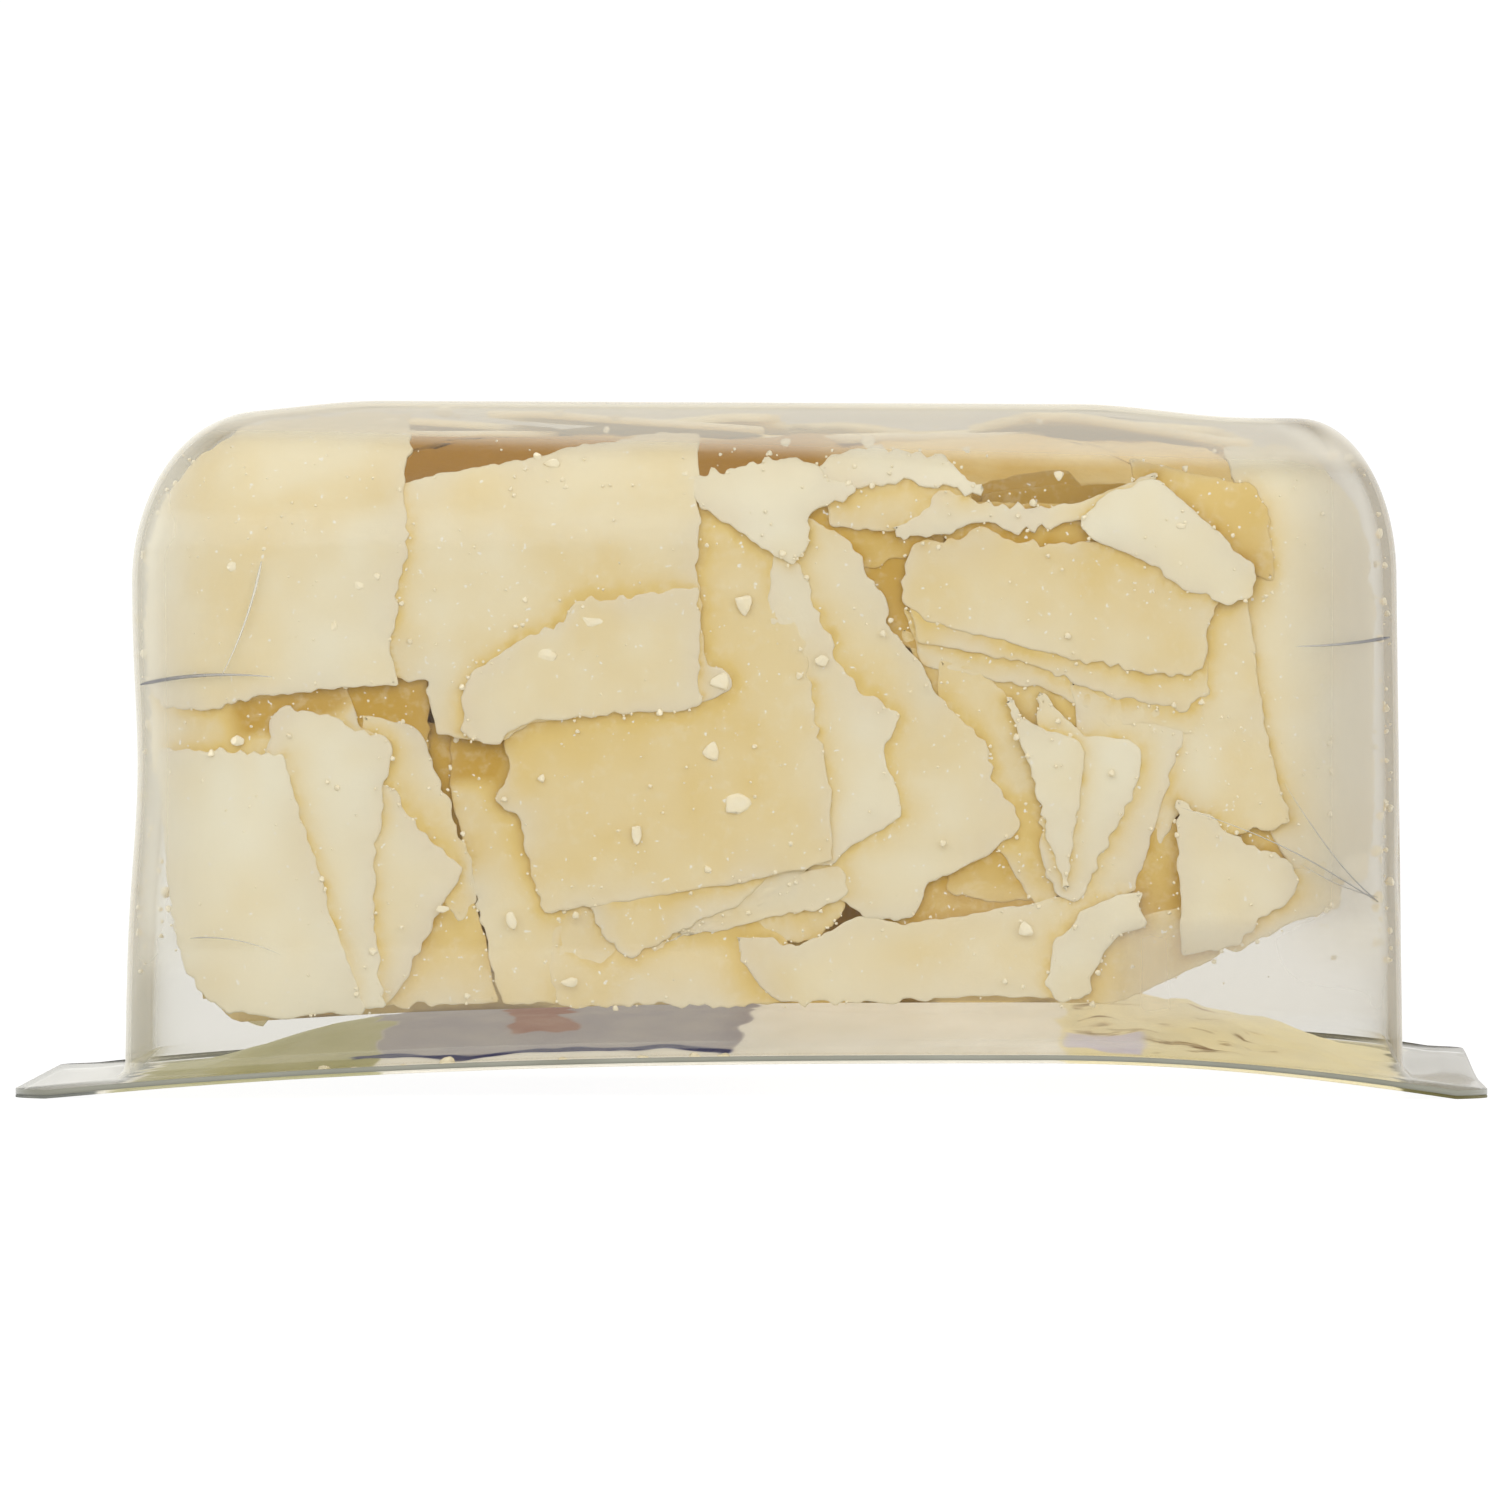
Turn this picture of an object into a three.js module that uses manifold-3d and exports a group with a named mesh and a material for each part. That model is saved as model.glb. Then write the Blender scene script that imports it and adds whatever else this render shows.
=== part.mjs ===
// A sealed pack of grana padano shavings, lying on its lid: a clear thermoformed tub turned upside down,
// a printed lid film welded to the tub's flange, and the loose heap of shavings inside.
// Millimetres, +Z up, +X along the pack's long side, +Y away from the front wall. The origin is on the
// surface that the pack stands on, under the middle of the flange.
import * as THREE from "three";
import { mergeVertices } from "three/addons/utils/BufferGeometryUtils.js";
import Module from "manifold-3d";

// ---------- driving dimensions ----------
const FLANGE_LENGTH = 135;
const FLANGE_WIDTH = 95;
const FLANGE_CORNER = 8;
const TUB_LENGTH = 118.2;
const TUB_WIDTH = 80;
const TUB_CORNER = 14;
const TUB_SHIFT = 1; // the tub sits this far towards +X on its flange
const TUB_HEIGHT = 62.6; // to the flat of the tub's base, which is on top here
const SHEET = 0.5; // the tub's plastic
const FILM = 0.2; // the lid film
const SEAL = 0.1; // the weld between the two

// The rounding between the tub's walls and its base: how far in it reaches and how far down.
const ROUND_IN = { left: 11.5, side: 9, right: 9 };
const ROUND_DOWN = { left: 16, side: 14, right: 15 };
const BASE_ROUND = 1.2; // the small rounding where the wall leaves the flange
const DRAFT = 0.6; // how far the walls lean in over their height

// The soft pack's warps.
const ARCH = 3.3; // the middle of the flange stands this far off the table
const ARCH_PEAK_X = 27;
const ARCH_POWER = { left: 2.8, right: 1.9 };
const REST_STRIP = 3; // the ends of the flange that lie flat on the table
const CORNER_LIFT = 1.7; // the back right corner of the flange stands up
const CROWN = 1.2; // the tub's base bulges up
const CROWN_TILT = 0.005; // and it falls towards +X, in mm for each mm
const WALL_SAG = 0.9; // the long walls draw in at their middle
const END_WAIST = 0.8; // the left end wall draws in, most at WAIST_HEIGHT
const WAIST_HEIGHT = 29;
const WAIST_REACH = 11;
const DOME = 3.8; // the lid film bulges up into the tub
const DOME_RISE = { end: 26, side: 22 }; // over this much in from the tub's ends and long walls

// The heap.
const SHAVING = 1.3; // thickness
const SHAVING_SIZE = [27, 24];
const CORE_DEPTH = 6.2; // the heap's core lies this far behind the walls
const CORE_TOP_DEPTH = 4.2;
const CLEARANCE = 0.35; // between the heap and the pack
const NEAREST = 0.75; // no shaving's corner comes nearer to the tub
const EDGE_JOG = 0.06; // how uneven a shaving's edge is, as a share of its size
const FACETS = { near: 3, deep: 2, from: 2.3 }; // along each side; the deep ones start at this depth
const HEAP_FLOOR = FILM + CLEARANCE;
const FLOOR_RINGS = [0.4, 0.6, 0.8]; // shares of the outline at which the heap's floor follows the lid's bulge
const CORE_FLOOR = 5.2; // the core's lower edge over the arch of the lid
const HOLLOW = { right: 12.5, left: 10 }; // how far the core's floor rises towards its ends

// ---------- small helpers ----------
const clamp = (t, low = 0, high = 1) => Math.min(high, Math.max(low, t));
const smooth = (t) => clamp(t) ** 2 * (3 - 2 * clamp(t));
const mix = (a, b, t) => a + (b - a) * t;
const degrees = (a) => (a * Math.PI) / 180;

// A repeatable number from 0 to 1 for each whole n.
function draw(n) {
  const wave = Math.sin(n * 12.9898 + 78.233) * 43758.5453;
  return wave - Math.floor(wave);
}

// ---------- the pack's soft shape ----------
// How far the lid stands off the table at a place.
function archAt(x, y) {
  const half = FLANGE_LENGTH / 2 - REST_STRIP;
  const isLeft = x < ARCH_PEAK_X;
  const reach = isLeft ? half + ARCH_PEAK_X : half - ARCH_PEAK_X;
  const share = clamp(Math.abs(x - ARCH_PEAK_X) / reach);
  const lift = CORNER_LIFT * smooth((x - 20) / 47) * smooth((y + 15) / 62);
  return ARCH * (1 - share ** (isLeft ? ARCH_POWER.left : ARCH_POWER.right)) + lift;
}

// How far the lid film bulges into the tub.
function domeAt(x, y) {
  const along = smooth((TUB_LENGTH / 2 - Math.abs(x - TUB_SHIFT)) / DOME_RISE.end);
  const across = smooth((TUB_WIDTH / 2 - Math.abs(y)) / DOME_RISE.side);
  return DOME * along * across;
}

// How far the tub's base bulges over its nominal height: it falls off over CROWN_FALL from CROWN_HALF.
const CROWN_HALF = { long: 48, wide: 52 };
const CROWN_FALL = { long: 16, wide: 20 };

function crownAt(x, y) {
  const long = smooth((CROWN_HALF.long - Math.abs(x + 2)) / CROWN_FALL.long);
  const wide = smooth((CROWN_HALF.wide - Math.abs(y)) / CROWN_FALL.wide);
  return CROWN * long * wide - CROWN_TILT * x;
}

// Takes a point of the nominal pack to where the soft pack has it.
function warp([x, y, z]) {
  const up = clamp(z / TUB_HEIGHT);
  const across = clamp(Math.abs(y) / (TUB_WIDTH / 2));
  const along = clamp((TUB_SHIFT - x) / (TUB_LENGTH / 2));
  const sag = WALL_SAG * Math.sin(Math.PI * up) * smooth(1 - Math.abs(x) / 60) * across ** 3;
  const waist = END_WAIST * Math.exp(-(((z - WAIST_HEIGHT) / WAIST_REACH) ** 2)) * along ** 3;
  return [
    x + waist,
    y - Math.sign(y) * sag,
    z + archAt(x, y) * (1 - up) + crownAt(x, y) * up ** 3,
  ];
}

// The tub's outline at the height of the flange, by distance s along it from the middle of the front
// wall, counted towards +X. Returns the point and the outward normal.
const STRAIGHT_X = TUB_LENGTH / 2 - TUB_CORNER;
const STRAIGHT_Y = TUB_WIDTH / 2 - TUB_CORNER;
const ARC = (Math.PI / 2) * TUB_CORNER;
const AROUND = 4 * (STRAIGHT_X + STRAIGHT_Y + ARC);

function outline(s) {
  const parts = [
    { length: STRAIGHT_X, from: [0, -1], turn: -90 },
    { length: ARC, centre: [1, -1], turn: -90 },
    { length: 2 * STRAIGHT_Y, from: [1, -1], turn: 0 },
    { length: ARC, centre: [1, 1], turn: 0 },
    { length: 2 * STRAIGHT_X, from: [1, 1], turn: 90 },
    { length: ARC, centre: [-1, 1], turn: 90 },
    { length: 2 * STRAIGHT_Y, from: [-1, 1], turn: 180 },
    { length: ARC, centre: [-1, -1], turn: 180 },
    { length: STRAIGHT_X, from: [-1, -1], turn: 270 },
  ];
  let rest = ((s % AROUND) + AROUND) % AROUND;
  let part = parts[0];
  for (part of parts) {
    if (rest <= part.length) break;
    rest -= part.length;
  }
  const bend = part.centre ? rest / TUB_CORNER : 0;
  const angle = degrees(part.turn) + bend;
  const normal = [Math.cos(angle), Math.sin(angle)];
  if (part.centre) {
    const [cx, cy] = part.centre;
    return {
      at: [cx * STRAIGHT_X + TUB_CORNER * normal[0], cy * STRAIGHT_Y + TUB_CORNER * normal[1]],
      normal,
    };
  }
  const start = [part.from[0] * STRAIGHT_X, part.from[1] * STRAIGHT_Y];
  return {
    at: [
      start[0] + TUB_CORNER * normal[0] - rest * normal[1],
      start[1] + TUB_CORNER * normal[1] + rest * normal[0],
    ],
    normal,
  };
}

// A size that changes round the pack, from the sizes at the left, the long sides and the right.
const roundAt = (sizes, nx) => mix(sizes.side, nx < 0 ? sizes.left : sizes.right, nx ** 2);

// A point of the tub's outer skin, or depth behind it: s is round the tub and v is up the wall and on
// over the rounding, along the skin.
function wallPoint(s, v, depth = 0) {
  const { at, normal } = outline(s);
  const inward = roundAt(ROUND_IN, normal[0]);
  const down = roundAt(ROUND_DOWN, normal[0]);
  const wallTop = TUB_HEIGHT - down;
  const arc = (Math.PI / 2) * Math.sqrt((inward ** 2 + down ** 2) / 2);
  const angle = (clamp((v - wallTop) / arc) * Math.PI) / 2;
  const slope = Math.hypot(Math.cos(angle) / inward, Math.sin(angle) / down);
  const level = Math.cos(angle) / inward / slope;
  const rise = Math.sin(angle) / down / slope;
  const inset = inward * (1 - Math.cos(angle)) + depth * level + DRAFT * clamp(v / wallTop);
  const z = Math.min(v, wallTop) + down * Math.sin(angle) - depth * rise;
  return warp([
    at[0] - inset * normal[0] + TUB_SHIFT,
    at[1] - inset * normal[1],
    z,
  ]);
}

// How far up the skin the rounding ends, at a place round the tub.
function skinTop(s) {
  const nx = outline(s).normal[0];
  const inward = roundAt(ROUND_IN, nx);
  const down = roundAt(ROUND_DOWN, nx);
  return TUB_HEIGHT - down + (Math.PI / 2) * Math.sqrt((inward ** 2 + down ** 2) / 2);
}

// A point of the front wall by where it shows from the front: x and z of the skin, and depth behind it.
function frontPoint(x, z, depth) {
  const fromMiddle = x - TUB_SHIFT;
  const round = clamp((Math.abs(fromMiddle) - STRAIGHT_X) / TUB_CORNER, 0, 0.97);
  const straight = Math.min(Math.abs(fromMiddle), STRAIGHT_X);
  const s = Math.sign(fromMiddle) * (straight + TUB_CORNER * Math.asin(round));
  const lift = archAt(x, -TUB_WIDTH / 2);
  const level = (z - lift) / (1 - lift / TUB_HEIGHT);
  const down = roundAt(ROUND_DOWN, outline(s).normal[0]);
  const wallTop = TUB_HEIGHT - down;
  const over = Math.asin(clamp((level - wallTop) / down, 0, 0.97)) / (Math.PI / 2);
  return wallPoint(s, Math.min(level, wallTop) + over * (skinTop(s) - wallTop), depth);
}

// A point under the tub's base.
const topPoint = (x, y, depth) => warp([x, y, TUB_HEIGHT - depth]);

// ---------- rings round the pack ----------
const LONG_STEPS = 4; // for each half of a long wall
const CORNER_STEPS = 5;
const END_STEPS = 5;

// The places round the tub where every ring has a point.
function stations() {
  const runs = [
    [STRAIGHT_X, LONG_STEPS],
    [ARC, CORNER_STEPS],
    [2 * STRAIGHT_Y, END_STEPS],
    [ARC, CORNER_STEPS],
    [2 * STRAIGHT_X, 2 * LONG_STEPS],
    [ARC, CORNER_STEPS],
    [2 * STRAIGHT_Y, END_STEPS],
    [ARC, CORNER_STEPS],
    [STRAIGHT_X, LONG_STEPS],
  ];
  const found = [];
  let start = 0;
  for (const [length, steps] of runs) {
    for (let i = 0; i < steps; i++) found.push(start + (length * i) / steps);
    start += length;
  }
  return found;
}
const STATIONS = stations();

const wallRing = (v, depth) => STATIONS.map((s) => wallPoint(s, v, depth));

// The end of the rounding, drawn in towards the middle by share.
const topRing = (share, depth) =>
  STATIONS.map((s) => {
    const { at, normal } = outline(s);
    const inset = roundAt(ROUND_IN, normal[0]) + DRAFT;
    const x = (at[0] - inset * normal[0]) * share + TUB_SHIFT;
    const y = (at[1] - inset * normal[1]) * share;
    return topPoint(x, y, depth);
  });

// The flange's edge, with a point for each of the tub's, at height z.
const flangeRing = (z) =>
  STATIONS.map((s) => {
    const { at, normal } = outline(s);
    const scaleX = (FLANGE_LENGTH / 2 - FLANGE_CORNER) / STRAIGHT_X;
    const scaleY = (FLANGE_WIDTH / 2 - FLANGE_CORNER) / STRAIGHT_Y;
    const x = (at[0] - TUB_CORNER * normal[0]) * scaleX + FLANGE_CORNER * normal[0];
    const y = (at[1] - TUB_CORNER * normal[1]) * scaleY + FLANGE_CORNER * normal[1];
    return warp([x, y, z]);
  });

// The tub's foot grown outwards by out, at height z.
const footRing = (out, z) =>
  STATIONS.map((s) => {
    const { at, normal } = outline(s);
    return warp([at[0] + out * normal[0] + TUB_SHIFT, at[1] + out * normal[1], z]);
  });

// The two triangles of a facet a, b, c, d, split from a to c or from b to d. A sheet's two sides are
// split alike, so that they stay apart where the facets are bent.
const split = (a, b, c, d, fromA) =>
  fromA
    ? [[a, b, c], [a, c, d]]
    : [[a, b, d], [b, c, d]];

// A closed body from rings, out along one side and back along the other. The first ring and the last one
// close on a middle point each.
function ringBody(rings, first, last) {
  const count = STATIONS.length;
  const points = [first, ...rings.flat(), last];
  const faces = [];
  const point = (ring, i) => 1 + ring * count + (i % count);
  for (let i = 0; i < count; i++) {
    faces.push([0, point(0, i + 1), point(0, i)]);
    faces.push([points.length - 1, point(rings.length - 1, i), point(rings.length - 1, i + 1)]);
    for (let ring = 0; ring + 1 < rings.length; ring++) {
      const corners = [point(ring, i), point(ring, i + 1), point(ring + 1, i + 1), point(ring + 1, i)];
      faces.push(...split(...corners, ring >= rings.length / 2));
    }
  }
  return geometryOf(points, faces);
}

function geometryOf(points, faces) {
  const geometry = new THREE.BufferGeometry();
  geometry.setAttribute("position", new THREE.Float32BufferAttribute(points.flat(), 3));
  geometry.setIndex(faces.flat());
  return geometry;
}

// ---------- the tub ----------
const FLANGE_UNDER = FILM + SEAL;
const FLANGE_TOP = FLANGE_UNDER + SHEET;
const FOOT_OUT = BASE_ROUND - 0.4 * SHEET; // where the flange's underside begins
const WALL_HEIGHTS = [3, 13, 23, 33, 42];
const ROUND_SHARES = [0, 0.25, 0.5, 0.75, 1];
const TOP_SHARES = [1, 0.66, 0.33];
const BEND = 0.3; // the foot's rounding has one ring, this share of it up and out

// Rings up one skin of the tub, from the foot to the middle of the base.
function skinRings(depth) {
  const up = WALL_HEIGHTS.map((v) => wallRing(v, depth));
  const over = ROUND_SHARES.map((share) =>
    STATIONS.map((s) => {
      const down = roundAt(ROUND_DOWN, outline(s).normal[0]);
      return wallPoint(s, mix(TUB_HEIGHT - down, skinTop(s), share), depth);
    }),
  );
  const top = TOP_SHARES.slice(1).map((share) => topRing(share, depth));
  return [...up, ...over, ...top];
}

function tubGeometry() {
  const outer = [
    flangeRing(FLANGE_UNDER),
    flangeRing(FLANGE_TOP),
    footRing(BASE_ROUND, FLANGE_TOP),
    footRing(BEND * BASE_ROUND, FLANGE_TOP + BEND * BASE_ROUND),
    ...skinRings(0),
  ];
  const inner = [
    ...skinRings(SHEET).reverse(),
    footRing(BEND * BASE_ROUND - SHEET, FLANGE_UNDER + 0.4 * BASE_ROUND),
    footRing(FOOT_OUT, FLANGE_UNDER),
  ];
  return ringSleeve(outer, inner, topPoint(TUB_SHIFT, 0, 0), topPoint(TUB_SHIFT, 0, SHEET));
}

// A cup: rings up the outside to its middle, then from the inner middle down the inside.
function ringSleeve(outer, inner, outerMiddle, innerMiddle) {
  const count = STATIONS.length;
  const rings = [...outer, ...inner];
  const points = [...rings.flat(), outerMiddle, innerMiddle];
  const [tip, root] = [points.length - 2, points.length - 1];
  const faces = [];
  const point = (ring, i) => ring * count + (i % count);
  const lastOuter = outer.length - 1;
  for (let i = 0; i < count; i++) {
    for (let ring = 0; ring < rings.length; ring++) {
      const next = (ring + 1) % rings.length;
      if (ring === lastOuter) continue;
      const corners = [point(ring, i), point(ring, i + 1), point(next, i + 1), point(next, i)];
      faces.push(...split(...corners, ring < lastOuter));
    }
    faces.push([point(lastOuter, i), point(lastOuter, i + 1), tip]);
    faces.push([point(lastOuter + 1, i + 1), point(lastOuter + 1, i), root]);
  }
  return geometryOf(points, faces);
}

// ---------- the lid film ----------
const LID_SHARES = [0.25, 0.5, 0.7, 0.85];

// A ring of the lid inside the tub's foot, drawn in towards the middle by share.
const lidRing = (share, z) =>
  STATIONS.map((s) => {
    const { at, normal } = outline(s);
    const x = (at[0] + FOOT_OUT * normal[0]) * share + TUB_SHIFT;
    const y = (at[1] + FOOT_OUT * normal[1]) * share;
    return warp([x, y, z + domeAt(x, y)]);
  });

function lidGeometry() {
  const level = (z) => [
    ...LID_SHARES.map((share) => lidRing(share, z)),
    footRing(FOOT_OUT, z),
    flangeRing(z),
  ];
  const rings = [...level(0), ...level(FILM).reverse()];
  const middle = (z) => warp([TUB_SHIFT, 0, z + domeAt(TUB_SHIFT, 0)]);
  return ringBody(rings, middle(0), middle(FILM));
}

// ---------- the heap of shavings ----------
const wasm = await Module();
wasm.setup();

function solidOf(geometry) {
  const merged = mergeVertices(geometry, 1e-4);
  return new wasm.Manifold(
    new wasm.Mesh({
      numProp: 3,
      vertProperties: new Float32Array(merged.attributes.position.array),
      triVerts: new Uint32Array(merged.index.array),
    }),
  );
}

function geometryFrom(solid) {
  const mesh = solid.getMesh();
  const geometry = new THREE.BufferGeometry();
  const points = [];
  for (let i = 0; i < mesh.numVert; i++) {
    points.push(...mesh.vertProperties.subarray(i * mesh.numProp, i * mesh.numProp + 3));
  }
  geometry.setAttribute("position", new THREE.Float32BufferAttribute(points, 3));
  geometry.setIndex([...mesh.triVerts]);
  return geometry;
}

// The core's underside: it clears the lid's bulge and is hollow under its right end and left corner.
function coreUnderside(x, y) {
  const right = HOLLOW.right * smooth((x - 30) / 28);
  const left = HOLLOW.left * smooth((-47 - x) / 9);
  return CORE_FLOOR + right + left + archAt(x, y);
}

// The lowest that anything in the heap may reach: just over the lid.
const heapFloor = (x, y) => HEAP_FLOOR + archAt(x, y) + domeAt(x, y);

// Everything inside the pack that the heap may fill. Its floor has rings at floorShares of the way out
// from its middle.
function interior(depth, topDepth, underside, floorShares) {
  const wall = skinRings(SHEET + depth);
  const count = wall.length;
  const rings = wall.map((ring, k) => {
    const drop = k < count - TOP_SHARES.length ? 0 : topDepth - depth;
    return ring.map(([x, y, z]) => [x, y, z - drop]);
  });
  const floorPoint = ([x, y], share) => {
    const px = mix(TUB_SHIFT, x, share);
    const py = y * share;
    return [px, py, underside(px, py)];
  };
  const floor = [...floorShares, 1].map((share) => rings[0].map((at) => floorPoint(at, share)));
  const lifted = rings.map((ring) =>
    ring.map(([x, y, z]) => [x, y, Math.max(z, underside(x, y) + 0.05)]),
  );
  const middle = topPoint(TUB_SHIFT, 0, SHEET + topDepth);
  const under = [TUB_SHIFT, 0, underside(TUB_SHIFT, 0)];
  return solidOf(ringBody([...floor, ...lifted], under, middle));
}

// One shaving: a slab whose corners and edges are uneven, laid depth behind the skin by place(), leaning
// by lean and curled by curl, in mm over its width. It has cells facets along each side.
function shavingSolid(shaving, seed) {
  const { place, at, size, depth, turn = 0, shear = 0, taper = 0, lean = [0, 0], curl = 0 } = shaving;
  const cells = depth < FACETS.from ? FACETS.near : FACETS.deep;
  const angle = degrees(turn);
  const points = [];
  for (const under of [0, 1]) {
    for (let j = 0; j <= cells; j++) {
      for (let i = 0; i <= cells; i++) {
        const rim = i % cells === 0 || j % cells === 0;
        const jog = (k) => (rim ? EDGE_JOG * (draw(seed * 97 + j * 11 + i * 3 + k) - 0.5) : 0);
        const u = i / cells - 0.5 + jog(0);
        const v = j / cells - 0.5 + jog(1);
        const x = u * size[0] * (1 + taper * v) + shear * v * size[1];
        const y = v * size[1];
        const bow = curl * (1 - 4 * u * u);
        const down = Math.max(depth + lean[0] * u + lean[1] * v + bow, NEAREST) + under * SHAVING;
        const across = at[0] + x * Math.cos(angle) - y * Math.sin(angle);
        const along = at[1] + x * Math.sin(angle) + y * Math.cos(angle);
        points.push(place(across, along, SHEET + down));
      }
    }
  }
  return solidOf(geometryOf(points, slabFaces(cells)));
}

// The faces of a slab of cells by cells facets, whose outer layer's points come first.
function slabFaces(cells) {
  const row = cells + 1;
  const layer = row * row;
  const faces = [];
  const quad = (a, b, c, d) => faces.push([a, b, c], [a, c, d]);
  for (let j = 0; j < cells; j++) {
    for (let i = 0; i < cells; i++) {
      const a = j * row + i;
      quad(a, a + 1, a + 1 + row, a + row);
      quad(layer + a, layer + a + row, layer + a + 1 + row, layer + a + 1);
    }
  }
  for (let i = 0; i < cells; i++) {
    const [low, high] = [i, cells * row + i];
    quad(low + 1, low, layer + low, layer + low + 1);
    quad(high, high + 1, layer + high + 1, layer + high);
    const [left, right] = [i * row, i * row + cells];
    quad(left, left + row, layer + left + row, layer + left);
    quad(right + row, right, layer + right, layer + right + row);
  }
  return faces;
}

// The shavings that show through the front wall: where the middle of each is seen from the front (x and
// z), its size, and how it is turned, slanted, lies behind the wall, leans and curls.
const UPPER_LEFT = [
  { at: [-44.2, 49], size: [25.4, 25.2], turn: 2, depth: 0.8 },
  { at: [-18.7, 46.1], size: [27.8, 24], turn: 8.5, shear: 0.15, depth: 1.3 },
  { at: [-14.5, 39.2], size: [20, 11.8], turn: 9, shear: 0.4, taper: -0.5, depth: 0.9 },
  { at: [-45, 34.4], size: [24, 7.6], turn: 1, depth: 2.2, lean: [1.2, 0] },
  { at: [-34.2, 35], size: [10, 8.4], depth: 4.4 },
];
const MIDDLE = [
  { at: [-8.4, 36.5], size: [27.5, 35], turn: 9.5, taper: 0.1, depth: 2.2, lean: [0, 2] },
  { at: [-4.7, 31.7], size: [28, 28], turn: 26, depth: 3.2, lean: [-1, 1.4] },
  { at: [-3.7, 28.1], size: [19.5, 26], turn: 12.8, depth: 3.8, lean: [0, 1.4] },
  { at: [3.9, 24.3], size: [9.5, 20], turn: 5, depth: 4.4, lean: [0, 1] },
  { at: [5.3, 34.4], size: [10.4, 30], turn: 20, depth: 3.2 },
  { at: [11, 33.8], size: [14.2, 30], turn: 30, depth: 4, lean: [-1.4, 0] },
  { at: [11.8, 26.5], size: [9.5, 22], turn: -3, depth: 4.4, lean: [-1, 0] },
  { at: [2, 53.2], size: [14, 9.5], turn: -5, depth: 1.7, lean: [0, -0.8] },
];
const FAN = [
  { at: [25.3, 28.3], size: [3.8, 19], turn: 18, depth: 2 },
  { at: [25.6, 26], size: [8.8, 15.5], turn: -8, depth: 2.6, lean: [-1, 0] },
  { at: [26.6, 27.5], size: [14.2, 15.4], turn: -20, depth: 3.3, lean: [-1, 0] },
  { at: [29.6, 28.6], size: [17.2, 17.2], turn: -17, depth: 3.9, lean: [-1, 0] },
  { at: [31.9, 30.2], size: [16, 17], turn: -15, depth: 4.5, lean: [-1, 0] },
];
const UPPER_RIGHT = [
  { at: [28.4, 45.1], size: [28.3, 9.6], turn: -12.5, depth: 1.9, curl: 0.5 },
  { at: [28.8, 41.6], size: [25, 8], turn: -16, depth: 2.7 },
  { at: [27.4, 38.6], size: [20, 8], turn: -22, depth: 3.5 },
  { at: [13.6, 56.9], size: [15, 4.2], turn: -12, depth: 1.5 },
  { at: [13.5, 54.2], size: [14, 5.6], turn: -2, depth: 2.4 },
  { at: [24.3, 53.2], size: [24, 3], turn: 5, depth: 1.9 },
  { at: [25.4, 51], size: [18, 6.6], turn: -2, depth: 3.2 },
  { at: [38.4, 50.7], size: [15.4, 7.6], turn: -32, depth: 1.1 },
  { at: [36.6, 48.4], size: [16, 15], turn: -43, depth: 4.4, lean: [1, 1] },
  { at: [41.4, 53.4], size: [13, 10], turn: -10, depth: 2.8 },
  { at: [38.8, 35.1], size: [18.5, 25], turn: 11.5, depth: 3.6, lean: [-2.6, 0] },
  { at: [51, 40.3], size: [13, 37], turn: -1, depth: 3.1, lean: [-2.5, 0] },
];
const LOWER = [
  { at: [44.7, 19.3], size: [12, 11.6], turn: 6, depth: 1.3, lean: [0, 0.4] },
  { at: [43.4, 18.4], size: [30, 10.4], turn: 19, depth: 3.4, lean: [0, 1] },
  { at: [15, 13], size: [31, 8.4], turn: 4, depth: 2.6, lean: [0, 1.2] },
  { at: [-8, 12.7], size: [24, 8.8], turn: 1, depth: 3, lean: [0, 1.4] },
  { at: [31.5, 13.7], size: [5.4, 10.2], turn: 4, taper: 0.8, shear: 0.25, depth: 1.4 },
  { at: [-20.2, 20.6], size: [11, 25], turn: 11, depth: 4, lean: [0, 1] },
  { at: [-46.2, 19.6], size: [14.4, 24.8], turn: -2, shear: -0.3, taper: -0.12, depth: 0.8 },
  { at: [-38.5, 21.4], size: [10.6, 27], turn: -4, shear: -0.1, depth: 1.7 },
  { at: [-35.9, 19.6], size: [13, 13], turn: 42, depth: 2.6, lean: [-1, 0] },
  { at: [-34.4, 23.5], size: [14, 16.6], turn: 19.5, depth: 3.4 },
  { at: [-28.8, 13.2], size: [8.8, 11.2], turn: 14, depth: 3.8 },
];
const FRONT = [...UPPER_LEFT, ...MIDDLE, ...FAN, ...UPPER_RIGHT, ...LOWER];

// Shavings laid by rule over a stretch of the walls: rows and columns with uneven steps, and each one
// with its own size, turn, depth and lean.
const STRAY = [0.5, 0.4]; // how far each strays from its place, as a share of the step
const SIZE_RANGE = [0.82, 1.05];
const TURN_RANGE = [-40, 40];
const LEAN_RANGE = [3, 2];

function laidOver({ place, from, to, columns, rows, seed, low = 1.2, high = 3.4 }) {
  const step = [(to[0] - from[0]) / columns, (to[1] - from[1]) / rows];
  const found = [];
  for (let j = 0; j < rows; j++) {
    for (let i = 0; i < columns; i++) {
      const n = seed + (j * columns + i) * 7;
      const cell = [i + 0.5, j + 0.5];
      found.push({
        place,
        at: cell.map((middle, k) => from[k] + step[k] * (middle + STRAY[k] * (draw(n + k) - 0.5))),
        size: SHAVING_SIZE.map((side, k) => side * mix(...SIZE_RANGE, draw(n + 2 + k))),
        turn: mix(...TURN_RANGE, draw(n + 4)),
        depth: mix(low, high, draw(n + 5)),
        lean: LEAN_RANGE.map((most, k) => mix(-most, most, draw(n + 6 + k))),
      });
    }
  }
  return found;
}

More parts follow.
